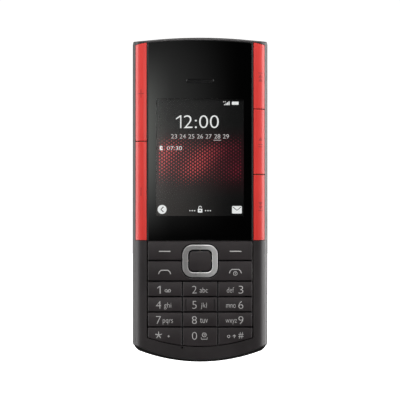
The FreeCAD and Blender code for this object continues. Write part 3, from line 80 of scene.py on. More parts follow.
class Wire:
    """A socket of a node tree that takes Python's operators."""

    __add__, __radd__ = operator("ADD"), operator("ADD", True)
    __sub__, __rsub__ = operator("SUBTRACT"), operator("SUBTRACT", True)
    __mul__, __rmul__ = operator("MULTIPLY"), operator("MULTIPLY", True)
    __truediv__, __rtruediv__ = operator("DIVIDE"), operator("DIVIDE", True)
    least, most = operator("MAXIMUM"), operator("MINIMUM")

    def __init__(self, tree: "Tree", socket: bpy.types.NodeSocket) -> None:
        """Keeps the tree and the socket that the value comes from."""
        self.tree, self.socket = tree, socket

    def __neg__(self) -> "Wire":
        """The value with its sign turned."""
        return self * -1.0

    def __abs__(self) -> "Wire":
        """The value without its sign."""
        return self.tree.math("ABSOLUTE", self)

    def sine(self) -> "Wire":
        """Its sine."""
        return self.tree.math("SINE", self)

    def reach(self, other: "Wire") -> "Wire":
        """The length of a flat vector that has these two parts."""
        return self.tree.math("SQRT", self * self + other * other)

    def step(self, low: float, high: float) -> "Wire":
        """A soft step.

        Args:
            low: where the step starts.
            high: where it ends; below low the step falls instead of rising.

        Returns:
            0 before low, 1 after high, and a smooth run between them.
        """
        sockets = {0: self, 1: min(low, high), 2: max(low, high)}
        settings = {"interpolation_type": "SMOOTHSTEP"}
        risen = self.tree.node("ShaderNodeMapRange", sockets, settings)
        return 1.0 - risen if high < low else risen

    def within(self, low: float, high: float, soft: float) -> "Wire":
        """1 between two places in mm and 0 outside them, with edges this soft."""
        rise = self.step((low - soft) * MM, (low + soft) * MM)
        return rise * self.step((high + soft) * MM, (high - soft) * MM)

    def offset(self, low: float, high: float) -> "Wire":
        """-1 to 1 from one place in mm to another."""
        return (self - (low + high) / 2 * MM) / ((high - low) / 2 * MM)


class Tree:
    """A node tree that is being built."""

    def __init__(self, tree: bpy.types.NodeTree) -> None:
        """Starts from an empty tree."""
        self.tree = tree
        tree.nodes.clear()

    def node(
        self,
        kind: str,
        sockets: dict[int | str, Any] | None = None,
        settings: dict[str, Any] | None = None,
        output: int | str = 0,
    ) -> Wire:
        """Adds one node.

        Args:
            kind: the node's type.
            sockets: a value or a wire for each input, by index or name.
            settings: its own settings, set before the inputs.
            output: which of its outputs is wanted.

        Returns:
            That output.
        """
        node = self.tree.nodes.new(kind)
        for key, value in (settings or {}).items():
            setattr(node, key, value)
        for key, value in (sockets or {}).items():
            target = node.inputs[key]
            if isinstance(value, Wire):
                self.tree.links.new(value.socket, target)
            else:
                target.default_value = (*value, 1.0) if target.type == "RGBA" else value
        return Wire(self, node.outputs[output])

    def end(self, kind: str, last: Wire) -> None:
        """Joins the last wire to the tree's output node."""
        self.tree.links.new(last.socket, self.tree.nodes.new(kind).inputs[0])

    def math(self, operation: str, *values: Any) -> Wire:
        """The result of one Math node on numbers or wires."""
        return self.node("ShaderNodeMath", dict(enumerate(values)), {"operation": operation})

    def vector(self, operation: str, *values: Any) -> Wire:
        """The result of one Vector Math node on vectors."""
        return self.node("ShaderNodeVectorMath", dict(enumerate(values)), {"operation": operation})

    def blend(self, factor: Any, first: Any, second: Any) -> Wire:
        """The colour between two colours: the first at factor 0, the second at 1."""
        sockets = {0: factor, 6: first, 7: second}
        return self.node("ShaderNodeMix", sockets, {"data_type": "RGBA"}, 2)

    def split(self, vector: Wire) -> list[Wire]:
        """The three parts of a vector."""
        node = self.node("ShaderNodeSeparateXYZ", {0: vector}).socket.node
        return [Wire(self, output) for output in node.outputs]

    def join(self, x: Any, y: Any, z: Any) -> Wire:
        """A vector from its three parts."""
        return self.node("ShaderNodeCombineXYZ", {0: x, 1: y, 2: z})


class Shader(Tree):
    """The node tree of one material."""

    def __init__(self, name: str) -> None:
        """Makes the material and its empty tree."""
        self.material = bpy.data.materials.new(name)
        self.material.use_nodes = True
        super().__init__(self.material.node_tree)

    def point(self) -> Wire:
        """The point on the object, in metres."""
        return self.node("ShaderNodeTexCoord", output="Object")

    def noise(self, where: Wire, scale: float, detail: float = 2.0, rough: float = 0.5) -> Wire:
        """Noise from 0 to 1: lumps for each metre, finer layers and how strong those are."""
        sockets = {"Vector": where, "Scale": scale, "Detail": detail, "Roughness": rough}
        return self.node("ShaderNodeTexNoise", sockets)

    def bump(self, height: Wire, depth: float, **more: Wire) -> Wire:
        """The normal of a height from 0 to 1 that stands for a depth in mm."""
        return self.node("ShaderNodeBump", {"Height": height, "Distance": depth * MM, **more})

    def worn(self, mask: Wire, colour: Triple, share: float) -> Wire:
        """A colour that falls to a share of itself where a mask falls to 0."""
        return self.blend(mask, shade(colour, share), colour)

    def finish(self, surface: Wire) -> Material:
        """Joins a shader to the output and returns the material."""
        self.end("ShaderNodeOutputMaterial", surface)
        return self.material

    def principled(self, **sockets: Any) -> Material:
        """The material of a Principled shader, its sockets named with underscores for spaces."""
        named = {key.replace("_", " "): value for key, value in sockets.items()}
        return self.finish(self.node("ShaderNodeBsdfPrincipled", named))


class Growth(Tree):
    """A Geometry Nodes tree with named inputs, run once on a mesh of seed points."""

    def __init__(self, name: str, sizes: dict[str, float | int]) -> None:
        """Makes the tree.

        Args:
            name: the tree's name.
            sizes: its named inputs and their values.
        """
        super().__init__(bpy.data.node_groups.new(name, "GeometryNodeTree"))
        self.sizes = sizes
        kinds = {label: "Int" if type(value) is int else "Float" for label, value in sizes.items()}
        for label, kind in {"Geometry": "Geometry", **kinds}.items():
            self._socket(label, "INPUT", kind)
        self._socket("Geometry", "OUTPUT", "Geometry")
        self.entry = self.node("NodeGroupInput").socket.node

    def _socket(self, label: str, way: str, kind: str) -> None:
        """Adds an input or output to the tree."""
        self.tree.interface.new_socket(label, in_out=way, socket_type="NodeSocket" + kind)

    def __getitem__(self, label: str) -> Wire:
        """One of the named inputs."""
        return Wire(self, self.entry.outputs[label])

    def scatter(self, points: Wire, shape: Wire, **more: Wire) -> Wire:
        """Copies of a shape on points, turned upright."""
        sockets = {"Points": points, "Instance": shape, "Rotation": UPRIGHT, **more}
        return self.node("GeometryNodeInstanceOnPoints", sockets)

    def grow(
        self, name: str, shape: Wire, finish: Material, seeds: Sequence[Triple] = ()
    ) -> Object:
        """Ends the tree, runs it and keeps the result as a plain mesh.

        Args:
            name: the new piece's name.
            shape: the geometry that the tree makes.
            finish: its material.
            seeds: the points that the tree starts from, in metres.

        Returns:
            The piece.
        """
        real = self.node("GeometryNodeRealizeInstances", {0: shape})
        made = self.node("GeometryNodeSetMaterial", {"Geometry": real, "Material": finish})
        self.end("NodeGroupOutput", made)
        mesh = bpy.data.meshes.new(name + "_seeds")
        mesh.from_pydata(list(seeds), [], [])
        carrier = add_object(name + "_carrier", mesh)
        modifier = carrier.modifiers.new("growth", "NODES")
        modifier.node_group = self.tree
        for item in self.tree.interface.items_tree:
            if item.name in self.sizes and item.in_out == "INPUT":
                modifier[item.identifier] = self.sizes[item.name]
        grown = plain_mesh(carrier)
        grown.name = name
        return keep(name, grown, finish)


# ---------------------------------------------------------------- pieces and meshes


def add_object(name: str, data: bpy.types.ID) -> Object:
    """Puts a mesh, curve, light or camera in the scene, at the origin."""
    thing = bpy.data.objects.new(name, data)
    bpy.context.scene.collection.objects.link(thing)
    return thing


def plain_mesh(holder: Object) -> Mesh:
    """The evaluated mesh of a helper object, which is removed."""
    graph = bpy.context.evaluated_depsgraph_get()
    mesh = bpy.data.meshes.new_from_object(holder.evaluated_get(graph))
    bpy.data.objects.remove(holder)
    return mesh


def paint(mesh: Mesh, finish: Material) -> None:
    """Gives a mesh one material."""
    mesh.materials.clear()
    mesh.materials.append(finish)


def smooth(mesh: Mesh) -> None:
    """Gives a mesh smooth faces."""
    mesh.polygons.foreach_set("use_smooth", [True] * len(mesh.polygons))


def keep(name: str, mesh: Mesh, finish: Material) -> Object:
    """Makes a piece of a mesh that holds its place, in one material."""
    paint(mesh, finish)
    return add_object(name, mesh)


def mount(piece: Object, body: str) -> None:
    """Makes a piece ride on a body.

    Args:
        piece: the finished piece.
        body: the body that carries it.
    """
    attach(piece, body)
    LOG.info("%s rides on %s, %d faces", piece.name, body, len(piece.data.polygons))


def dress(finish: "Finish", *nodes: str) -> Material:
    """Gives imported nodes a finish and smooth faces.

    Args:
        finish: the finish.
        nodes: the nodes' names.

    Returns:
        Its material, for small pieces that share it.
    """
    material = finish.build()
    for name in nodes:
        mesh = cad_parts[name].data
        paint(mesh, material)
        smooth(mesh)
        LOG.info("%s is dressed in %s", name, material.name)
    return material


def bow(centre: Point, radius: float, start: float, end: float, steps: int = 10) -> list[Point]:
    """An arc as points in mm, from one angle in degrees to another."""
    turns = [math.radians(start + (end - start) * k / steps) for k in range(steps + 1)]
    return [(centre[0] + radius * math.cos(t), centre[1] + radius * math.sin(t)) for t in turns]


def round_loop(centre: Point, radius: float, count: int) -> list[Point]:
    """A circle as points in mm, anticlockwise."""
    return bow(centre, radius, 0, 360, count)[:-1]


def rounded_box(box: Box, radius: float, steps: int = 4) -> list[Point]:
    """A rectangle with round corners.

    Args:
        box: left, right, bottom, top in mm.
        radius: the corners' radius.
        steps: runs in each corner.

    Returns:
        The points, anticlockwise.
    """
    left, right, bottom, top = box[0] + radius, box[1] - radius, box[2] + radius, box[3] - radius
    points: list[Point] = []
    for k, corner in enumerate(((right, bottom), (right, top), (left, top), (left, bottom))):
        points += bow(corner, radius, 90 * k - 90, 90 * k, steps)
    return points


def figure_one(box: Box, width: float) -> list[Point]:
    """The outline of a figure 1 with a slanted flag.

    Args:
        box: left, right, bottom, top in mm.
        width: how wide its stem is.

    Returns:
        The points, anticlockwise.
    """
    left, right, bottom, top = box
    stem, fall = right - width, (right - width - left) * 0.75
    flag = [(left, top - fall), (left, top - fall - width), (stem, top - 1.3 * width)]
    return [(stem, bottom), (right, bottom), (right, top), (stem + 0.1 * width, top), *flag]


def cap(end: Vector, edge: Vector, width: float) -> list[Point]:
    """The points of a stroke's round end, from this edge to the other."""
    start = math.degrees(math.atan2(*(edge - end).yx))
    return bow(end, width / 2, start, start + 180, 5)[1:-1]


class Side(Enum):
    """The side of the phone that a mark faces."""

    FRONT = -1
    BACK = 1


class Relief:
    """Marks on a face of the phone, gathered into one closed mesh. Sizes are in mm."""

    def __init__(self, level: float, height: float = 0.02, side: Side = Side.FRONT) -> None:
        """Starts an empty relief.

        Args:
            level: the y of the face that carries it.
            height: how far it stands proud.
            side: which way it faces.
        """
        self.shape = bmesh.new()
        self.sign = side.value
        self.near = level + self.sign * height
        self.far = level - self.sign * 0.01

    def _ring(self, points: Sequence[Point], y: float) -> list[bmesh.types.BMVert]:
        """Vertices for one loop at one depth."""
        return [self.shape.verts.new((x * MM, y * MM, z * MM)) for x, z in points]

    def _wall(self, first: list[bmesh.types.BMVert], second: list[bmesh.types.BMVert]) -> None:
        """Faces between two loops of the same count."""
        for k in range(len(first)):
            self.shape.faces.new((first[k - 1], first[k], second[k], second[k - 1]))

    def plate(self, outline: Sequence[Point]) -> "Relief":
        """Adds a solid plate.

        Args:
            outline: its outline.

        Returns:
            The relief, as from every method that adds to it.
        """
        front, back = self._ring(outline, self.near), self._ring(outline, self.far)
        self.shape.faces.new(front)
        self.shape.faces.new(back[::-1])
        self._wall(back, front)
        return self

    def turn(self, profile: Sequence[Point], centre: Point, count: int = 48) -> "Relief":
        """Adds a closed profile, turned round an axis along Y.

        Args:
            profile: (radius, y) points in order round the section.
            centre: the axis' x and z.
            count: runs round the axis.

        Returns:
            The relief.
        """
        rings = [self._ring(round_loop(centre, radius, count), y) for radius, y in profile]
        for first, second in zip(rings, rings[1:] + rings[:1]):
            self._wall(first, second)
        return self

    def hoop(self, centre: Point, radius: float, width: float, count: int = 20) -> "Relief":
        """Adds a thin circle of this width."""
        rims = ((1, self.near), (-1, self.near), (-1, self.far), (1, self.far))
        return self.turn([(radius + k * width / 2, y) for k, y in rims], centre, count)

    def line(self, points: Sequence[Point], width: float) -> "Relief":
        """Adds a stroke with round ends.

        Args:
            points: the stroke's middle line.
            width: its width.

        Returns:
            The relief.
        """
        middle = [Vector(p) for p in points]
        left, right = [], []
        for k, here in enumerate(middle):
            before, after = middle[max(k - 1, 0)], middle[min(k + 1, len(middle) - 1)]
            along = (after - before).normalized()
            out = Vector((-along.y, along.x)) * width / 2
            left.append(here + out)
            right.append(here - out)
        last, first = cap(middle[-1], right[-1], width), cap(middle[0], left[0], width)
        return self.plate([tuple(p) for p in (*right, *last, *left[::-1], *first)])

    def word(self, text: str, box: Box, weight: float = 0.0) -> "Relief":
        """Adds lettering that fills a box.

        Args:
            text: the figures or letters.
            box: left, right, bottom, top.
            weight: how much bolder each stroke is, as a share of the letters' size.

        Returns:
            The relief.
        """
        curve = bpy.data.curves.new("lettering", "FONT")
        curve.body = text
        curve.extrude = 1.0
        curve.offset = weight
        curve.resolution_u = 4
        mesh = plain_mesh(add_object("lettering", curve))
        xs, ys = [v.co.x for v in mesh.vertices], [v.co.y for v in mesh.vertices]
        wide = (box[1] - box[0]) / (max(xs) - min(xs))
        tall = (box[3] - box[2]) / (max(ys) - min(ys))
        middle, half = (self.near + self.far) / 2, abs(self.near - self.far) / 2
        for vertex in mesh.vertices:
            x = box[0] + (vertex.co.x - min(xs)) * wide
            z = box[2] + (vertex.co.y - min(ys)) * tall
            vertex.co = Vector((x, middle - vertex.co.z * half, z)) * MM
        self.shape.from_mesh(mesh)
        bpy.data.meshes.remove(mesh)
        return self

    def refine(self, longest: float) -> "Relief":
        """Divides the faces, so that the relief can follow a bent surface.

        Args:
            longest: about how long an edge may stay.

        Returns:
            The relief.
        """
        for _ in range(5):
            bmesh.ops.triangulate(self.shape, faces=self.shape.faces[:])
            edges = [edge for edge in self.shape.edges if edge.calc_length() > longest * MM]
            bmesh.ops.subdivide_edges(self.shape, edges=edges, cuts=1)
        bmesh.ops.triangulate(self.shape, faces=self.shape.faces[:])
        return self

    def _press(self, under: Mesh) -> None:
        """Lays the relief on a surface.

        Args:
            under: the mesh that it follows.
        """
        faces = [tuple(face.vertices) for face in under.polygons]
        skin = BVHTree.FromPolygons([v.co for v in under.vertices], faces)
        level = (self.near + self.far) / 2 * MM
        for vertex in self.shape.verts:
            start = Vector((vertex.co.x, self.sign * OUTSIDE, vertex.co.z))
            hit = skin.ray_cast(start, Vector((0, -self.sign, 0)))[0]
            if hit:
                vertex.co.y = hit.y + (vertex.co.y - level) + self.sign * LIFT * MM

    def build(self, name: str, finish: Material, on: str | None = None) -> Object:
        """Makes the piece.

        Args:
            name: its name.
            finish: its material.
            on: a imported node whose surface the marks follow.

        Returns:
            The piece.
        """
        bmesh.ops.remove_doubles(self.shape, verts=self.shape.verts[:], dist=WELD)
        bmesh.ops.recalc_face_normals(self.shape, faces=self.shape.faces[:])
        if on:
            self._press(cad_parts[on].data)
        mesh = bpy.data.meshes.new(name)
        self.shape.to_mesh(mesh)
        self.shape.free()
        return keep(name, mesh, finish)


# ---------------------------------------------------------------- finishes


def grey(level: float) -> Triple:
    """A grey as a colour."""
    return (level, level, level)


def shade(colour: Triple, share: float) -> Triple:
    """A colour times a number."""
    return tuple(part * share for part in colour)


@dataclass(frozen=True)
class Finish:
    """A named finish, whose material is built when it is wanted."""

    name: str

    def build(self) -> Material:
        """Makes the material."""
        raise NotImplementedError


@dataclass(frozen=True)
class Moulded(Finish):
    """Moulded plastic: a little uneven in tone, with spark-eroded grain and handled patches."""

    colour: Triple
    roughness: float
    mottle: float = 0.12
    depth: float = 0.004
    coat: float = 0.0
    specular: float = 0.5

    def normal(self, shader: Shader, where: Wire, grain: Wire) -> Wire:
        """The normal that the grain gives."""
        return shader.bump(grain, self.depth)

    def build(self) -> Material:
        """Makes the material."""
        shader = Shader(self.name)
        where = shader.point()
        cloud = shader.noise(where, 70.0, 3.0, 0.6)
        grain = shader.noise(where, 9000.0, 2.0, 0.7)
        speck = shader.noise(where, 3000.0, 1.0)
        low, high = shade(self.colour, 1 - self.mottle), shade(self.colour, 1 + self.mottle)
        tone = shader.blend(cloud.step(0.35, 0.65), low, high)
        return shader.principled(
            Base_Color=shader.blend(grain.step(0.55, 0.8) * 0.25, tone, shade(self.colour, 1.35)),
            Roughness=self.roughness + (cloud - 0.5) * 0.16 + (speck - 0.5) * 0.1,
            Specular_IOR_Level=self.specular,
            Coat_Weight=self.coat,
            Coat_Roughness=0.08,
            Normal=self.normal(shader, where, grain),
        )


@dataclass(frozen=True)
class KeyCap(Moulded):
    """Moulded plastic with a slight crown between two heights. Sizes in mm."""

    between: Point = (0.0, 1.0)
    crown: float = 0.2

    def normal(self, shader: Shader, where: Wire, grain: Wire) -> Wire:
        """The normal that the grain and the crown give."""
        off = shader.split(where)[2].offset(*self.between)
        return shader.bump(1.0 - off * off, self.crown, Normal=super().normal(shader, where, grain))


@dataclass(frozen=True)
class Metal(Finish):
    """Metal with a drawn or brushed surface, a thin film of handling, and where asked a painted
    highlight that lightens its right side.
    """

    colour: Triple
    roughness: float
    along: Triple = (1.0, 1.0, 0.04)
    scratch: float = 6000.0
    depth: float = 0.002
    sweep: float = 0.0

    def build(self) -> Material:
        """Makes the material."""
        shader = Shader(self.name)
        where = shader.point()
        drawn = shader.vector("MULTIPLY", where, self.along)
        lines = shader.noise(drawn, self.scratch, 2.0, 0.6)
        cloud = shader.noise(where, 160.0, 3.0, 0.6)
        tone = shader.worn(lines.step(0.3, 0.7), self.colour, 0.86)
        tone = shader.blend(cloud.step(0.5, 0.8) * 0.3, tone, shade(self.colour, 0.78))
        # painted highlight: the right side is lightened towards a pale grey, standing in for light
        # falling on it
        if self.sweep:
            right = shader.split(where)[0].step(-0.002, 0.007)
            tone = shader.blend(right * self.sweep, tone, (0.98, 0.97, 0.97))
        return shader.principled(
            Base_Color=tone,
            Metallic=1.0,
            Roughness=self.roughness + (lines - 0.5) * 0.16 + (cloud - 0.5) * 0.1,
            Normal=shader.bump(lines, self.depth),
        )


@dataclass(frozen=True)
class Ink(Finish):
    """Pad-printed ink: nearly flat, with faint pinholes."""

    colour: Triple
    roughness: float = 0.5

    def build(self) -> Material:
        """Makes the material."""
        shader = Shader(self.name)
        holes = shader.noise(shader.point(), 7000.0, 2.0, 0.6)
        return shader.principled(
            Base_Color=shader.worn(holes.step(0.3, 0.7), self.colour, 0.82),
            Roughness=self.roughness + (holes - 0.5) * 0.2,
            Normal=shader.bump(holes, 0.002),
        )


@dataclass(frozen=True)
class Glow(Finish):
    """Lit pixels of the screen."""

    colour: Triple
    base: Triple = grey(0.02)

    def light(self, shader: Shader) -> Wire:
        """The colour of its light, uneven by a little."""
        rows = shader.noise(shader.point(), 1500.0, 1.0)
        return shader.worn(rows.step(0.2, 0.8), self.colour, 0.88)

    def build(self) -> Material:
        """Makes the material."""
        shader = Shader(self.name)
        return shader.principled(
            Base_Color=self.base,
            Roughness=0.6,
            Specular_IOR_Level=0.0,
            Emission_Color=self.light(shader),
            Emission_Strength=1.0,
        )


@dataclass(frozen=True)
class DotGlow(Glow):
    """Lit dots whose colour runs to a deeper one with the attribute tint."""

    deep: Triple = grey(0.0)

    def light(self, shader: Shader) -> Wire:
        """The colour of its light at the dot's tint."""
        settings = {"attribute_name": "tint"}
        tint = shader.node("ShaderNodeAttribute", settings=settings, output="Fac")
        return shader.blend(tint, self.colour, self.deep)


@dataclass(frozen=True)
class Panel(Finish):
    """The display cell: a dim lit field with a soft red band and a painted reflection that
    brightens its lower left, in a black rim. Sizes in mm.
    """

    field_box: Box
    band: Point

    def build(self) -> Material:
        """Makes the material."""
        shader = Shader(self.name)
        where = shader.point()
        x, y, z = shader.split(where)
        left, right, bottom, top = self.field_box
        inside = x.within(left, right, 0.04) * z.within(bottom, top, 0.04)
        band = abs(z.offset(*self.band)).step(1.25, 0.1)
        cloud = shader.noise(where, 120.0, 2.0)
        # painted reflection: the field's glow is lifted towards its lower left, standing in for
        # light reflected there
        painted_reflection = x.step(0.014, -0.016) * z.step(0.045, 0.005)
        dim = shader.blend(painted_reflection, (0.0016, 0.0015, 0.0016), (0.030, 0.0265, 0.025))
        warm = shader.blend(band * (0.18 + cloud * 0.3), dim, (0.052, 0.004, 0.010))
        pixels = shader.noise(where, 5200.0, 0.0)
        return shader.principled(
            Base_Color=shader.blend(inside, grey(0.001), grey(0.002)),
            Roughness=0.35 + pixels * 0.1,
            Specular_IOR_Level=0.1,
            Emission_Color=shader.blend(inside, grey(0.0), warm),
            Emission_Strength=1.0,
        )


@dataclass(frozen=True)
class PrintedGlass(Finish):
    """Polished glass with ground sides, black print behind it except over the display. In mm."""

    field_box: Box
    radius: float = 0.4
    edge_at: float = 21.55
    refraction: float = 1.5

    def build(self) -> Material:
        """Makes the material."""
        shader = Shader(self.name)
        where = shader.point()
        x, y, z = shader.split(where)
        left, right, bottom, top = self.field_box
        corner, soft = self.radius * MM, 0.00002
        past = [
            (abs(axis - (low + high) / 2 * MM) - ((high - low) / 2 * MM - corner)).least(0.0)
            for axis, low, high in ((x, left, right), (z, bottom, top))
        ]
        clear = past[0].reach(past[1]).step(corner + soft, corner - soft)
        smear = shader.noise(where, 60.0, 4.0, 0.65)
        ground = (abs(x) - self.edge_at * MM).step(0.0, 0.0001)
        gloss = 0.03 + smear.step(0.45, 0.8) * 0.05 + ground * 0.5
        bump = shader.bump(shader.noise(where, 2500.0, 2.0), 0.0004)
        shared = {"Roughness": gloss, "Normal": bump}
        tone = shader.blend(smear, grey(0.0003), grey(0.0006))
        ink = {"Base Color": tone, "IOR": self.refraction, **shared}
        black = shader.node("ShaderNodeBsdfPrincipled", ink)
        through = shader.node("ShaderNodeBsdfTransparent", {0: (0.97, 0.98, 0.975)})
        shine = shader.node("ShaderNodeBsdfGlossy", shared)
        fresnel = shader.node("ShaderNodeFresnel", {"IOR": self.refraction})
        inner = shader.node("ShaderNodeNewGeometry", output="Backfacing")
        pane = {0: fresnel * (1.0 - inner), 1: through, 2: shine}
        both = {0: clear, 1: black, 2: shader.node("ShaderNodeMixShader", pane)}
        return shader.finish(shader.node("ShaderNodeMixShader", both))


@dataclass(frozen=True)
class Board(Finish):
    """Circuit board: green mask over copper runs, with tinned pads."""

    def build(self) -> Material:
        """Makes the material."""
        shader = Shader(self.name)
        where = shader.point()
        x, y, z = shader.split(where)
        choice = shader.noise(shader.vector("SNAP", where, grey(0.0016)), 900.0, 0.0)
        run = abs(((x + z) * 1250.0).sine()).step(0.75, 0.9)
        cross = abs((z * 1700.0).sine()).step(0.8, 0.92)
        copper = (run * choice.step(0.5, 0.52) + cross * choice.step(0.5, 0.48)).most(1.0)
        cells = shader.node("ShaderNodeTexVoronoi", {"Vector": where, "Scale": 420.0})
        pad = cells.step(0.16, 0.13)
        mask = shader.blend(copper, (0.006, 0.045, 0.022), (0.014, 0.095, 0.045))
        return shader.principled(
            Base_Color=shader.blend(pad, mask, (0.72, 0.70, 0.66)),
            Metallic=pad,
            Roughness=0.45 - pad * 0.15,
            Normal=shader.bump(copper, 0.02),
        )


@dataclass(frozen=True)
class Lens(Finish):
    """Coated glass with a deep dark middle. Centre in mm."""

    centre: Point
    tint: Triple

    def build(self) -> Material:
        """Makes the material."""
        shader = Shader(self.name)
        where = shader.point()
        x, y, z = shader.split(where)
        reach = (x - self.centre[0] * MM).reach(z - self.centre[1] * MM)
        rings = (reach * 9000.0).sine()
        dust = shader.noise(where, 900.0, 2.0)
        return shader.principled(
            Base_Color=shader.blend(reach.step(0.0004, 0.0017), self.tint, (0.004, 0.004, 0.005)),
            Roughness=0.05 + rings.step(0.2, 1.0) * 0.04 + dust.step(0.6, 0.9) * 0.05,
            IOR=1.6,
            Coat_Weight=1.0,
            Coat_Roughness=0.02,
        )


@dataclass(frozen=True)
class Woven(Finish):
    """Fine woven mesh. The pitch is in mm."""

    colour: Triple
    pitch: float = 0.28
    specular: float = 0.5

    def build(self) -> Material:
        """Makes the material."""
        shader = Shader(self.name)
        x, y, z = shader.split(shader.point())
        turns = math.tau / (self.pitch * MM)
        wires = abs((x * turns).sine() * (z * turns).sine())
        return shader.principled(
            Base_Color=shader.worn(wires.step(0.05, 0.5), self.colour, 0.1),
            Specular_IOR_Level=self.specular,
            Roughness=0.6 - wires * 0.2,
            Normal=shader.bump(wires, 0.03),
        )


@dataclass(frozen=True)
class Wrap(Finish):
    """Printed wrap of the battery: pale field with a plain stripe between two heights in mm."""

    colour: Triple
    stripe: Triple
    between: Point

    def build(self) -> Material:
        """Makes the material."""
        shader = Shader(self.name)
        where = shader.point()
        crease = shader.noise(where, 350.0, 3.0)
        inside = shader.split(where)[2].within(*self.between, 0.1)
        # the wrap's colour is darker where the crease bump is low
        darker_in_crease_hollows = shader.worn(crease.step(0.4, 0.7), self.colour, 0.85)
        return shader.principled(
            Base_Color=shader.blend(inside, darker_in_crease_hollows, self.stripe),
            Roughness=0.35 + crease * 0.2,
            Normal=shader.bump(crease, 0.03),
        )


# ---------------------------------------------------------------- the studio


@dataclass
class Studio:
    """Camera, floor, soft lights and backdrop. Lengths in metres, powers in watts."""

    camera_at: Triple = (-0.00004, -0.30745, -0.00008)
    lens: float = 64.58
    floor_level: float = -0.135
    floor_reach: float = 1.5
    soft_boxes: tuple[tuple[str, Triple, Point, float], ...] = (
        ("light_top", (0.0, -0.55, 0.62), (0.7, 0.4), 7.8),
        ("light_left", (-0.62, -0.10, 0.05), (0.35, 0.9), 3.2),
        ("light_right", (0.62, -0.10, 0.05), (0.35, 0.9), 3.9),
        ("light_back", (0.76, 0.36, 0.0), (0.35, 0.6), 3.6),
        ("light_back_left", (-0.76, 0.36, 0.0), (0.35, 0.6), 1.3),
    )

    def place_camera(self) -> None:
        """Puts the camera square in front of the phone."""
        data = bpy.data.cameras.new("camera")
        data.lens = self.lens
        data.sensor_width = 36.0
        data.clip_start = 0.01
        camera = add_object("camera", data)
        camera.location = self.camera_at
        camera.rotation_euler = UPRIGHT
        bpy.context.scene.camera = camera

    def lay_floor(self) -> None:
        """A pale floor under the phone."""
        reach, level = self.floor_reach, self.floor_level
        corners = [(-reach, -reach), (reach, -reach), (reach, reach), (-reach, reach)]
        mesh = bpy.data.meshes.new("floor")
        mesh.from_pydata([(x, y, level) for x, y in corners], [], [(0, 1, 2, 3)])
        shader = Shader("floor_paper")
        cloud = shader.noise(shader.point(), 3.0, 3.0)
        paper = shader.principled(
            Base_Color=shader.blend(cloud, grey(0.84), grey(0.87)),
            Roughness=0.9,
            Emission_Color=grey(1.0),
            Emission_Strength=1.0,
        )
        floor = keep("floor", mesh, paper)
        floor.visible_glossy = False
        floor.visible_diffuse = False

    def hang_lights(self) -> None:
        """Soft boxes above, on both sides and behind, all turned to the phone."""
        for name, at, size, power in self.soft_boxes:
            data = bpy.data.lights.new(name, "AREA")
            data.shape = "RECTANGLE"
            data.size, data.size_y = size
            data.energy = power
            lamp = add_object(name, data)
            lamp.location = at
            lamp.rotation_euler = (Vector() - Vector(at)).to_track_quat("-Z", "Y").to_euler()
            lamp.visible_camera = False

    def paint_room(self) -> None:
        """A white backdrop, and for reflections a dim room whose front left glows a little."""
        world = bpy.data.worlds.new("room")
        world.use_nodes = True
        bpy.context.scene.world = world
        room = Tree(world.node_tree)
        x, y, z = room.split(room.node("ShaderNodeTexCoord", output="Generated"))
        ahead = (-y).least(0.05)
        across, up = x / ahead, z / ahead
        rise = up.step(-0.07, 0.075)
        broad = across.step(0.06, -0.08) * up.step(0.30, 0.12) * 0.38
        narrow = across.step(-0.035, -0.09) * up.step(0.22, 0.10) * 0.93
        glow = (broad + narrow) * rise * across.step(-0.30, -0.16) * y.step(-0.6, -0.8)
        behind, tilted = y.step(0.55, 0.90), abs(z).step(0.12, 0.30)
        around = y.step(-0.97, -0.80) * (1.0 - behind * tilted) + behind * (1.0 - tilted) * 0.9
        level = around * 0.30 + 0.008 + glow * 2.3
        tone = room.blend(glow, grey(1.0), (0.95, 1.0, 0.93))
        lit = room.node("ShaderNodeBackground", {0: tone, 1: level})
        seen = room.node("ShaderNodeBackground", {0: grey(1.0), 1: 1.05})
        eye = room.node("ShaderNodeLightPath", output="Is Camera Ray")
        both = room.node("ShaderNodeMixShader", {0: eye, 1: lit, 2: seen})
        room.end("ShaderNodeOutputWorld", both)
        bpy.context.scene.view_settings.view_transform = "Standard"

    def build(self) -> None:
        """Sets the whole studio up."""
        self.place_camera()
        self.lay_floor()
        self.hang_lights()
        self.paint_room()


# ---------------------------------------------------------------- shells


SHELL = Moulded("shell_satin", (0.018, 0.0152, 0.0158), 0.38)
BLACK = Moulded("inner_black", (0.012, 0.012, 0.013), 0.5)
KEY_TONE: Triple = (0.021, 0.0170, 0.0180)
RED = Moulded("key_red", (0.57, 0.031, 0.025), 0.34, mottle=0.03, depth=0.001, coat=0.3)
GRIP_RED = Moulded("grip_red", (0.16, 0.035, 0.03), 0.5, mottle=0.08)
STEEL = Metal("drawn_steel", (0.58, 0.57, 0.56), 0.32)
BRASS = Metal("gold_plate", (0.86, 0.62, 0.28), 0.22)
# the ring's last value, 0.5, is the share of painted highlight on its right side
RING_METAL = Metal("ring_satin", (0.42, 0.41, 0.41), 0.47, (1.0, 1.0, 0.3), 2500.0, 0.0003, 0.5)
RUBBER = Moulded("soft_rubber", (0.016, 0.016, 0.017), 0.75, depth=0.008)
INK = Ink("label_ink", (0.47, 0.46, 0.455))


@dataclass
class Shells:
    """Front and rear housings, battery door, and the slider's cover and grips."""

    def build(self) -> None:
        """Dresses the shells."""
        dress(SHELL, "front_housing", "rear_housing", "slider_cover", "battery_door")
        dress(GRIP_RED, "side_grips")


@dataclass
class Glass:
    """The front window, with the display and the earpiece behind it. Sizes in mm."""

    display_field: Box = (-18.36, 18.36, -6.76, 42.2)
    red_band: Point = (3.0, 29.0)

    def build(self) -> None:
        """Dresses the window and the parts just behind it."""
        dress(PrintedGlass("window_glass", self.display_field), "front_window")
        dress(Panel("display_cell", self.display_field, self.red_band), "display_panel")
        dress(Woven("earpiece_weave", grey(0.004), specular=0.1), "earpiece_mesh")


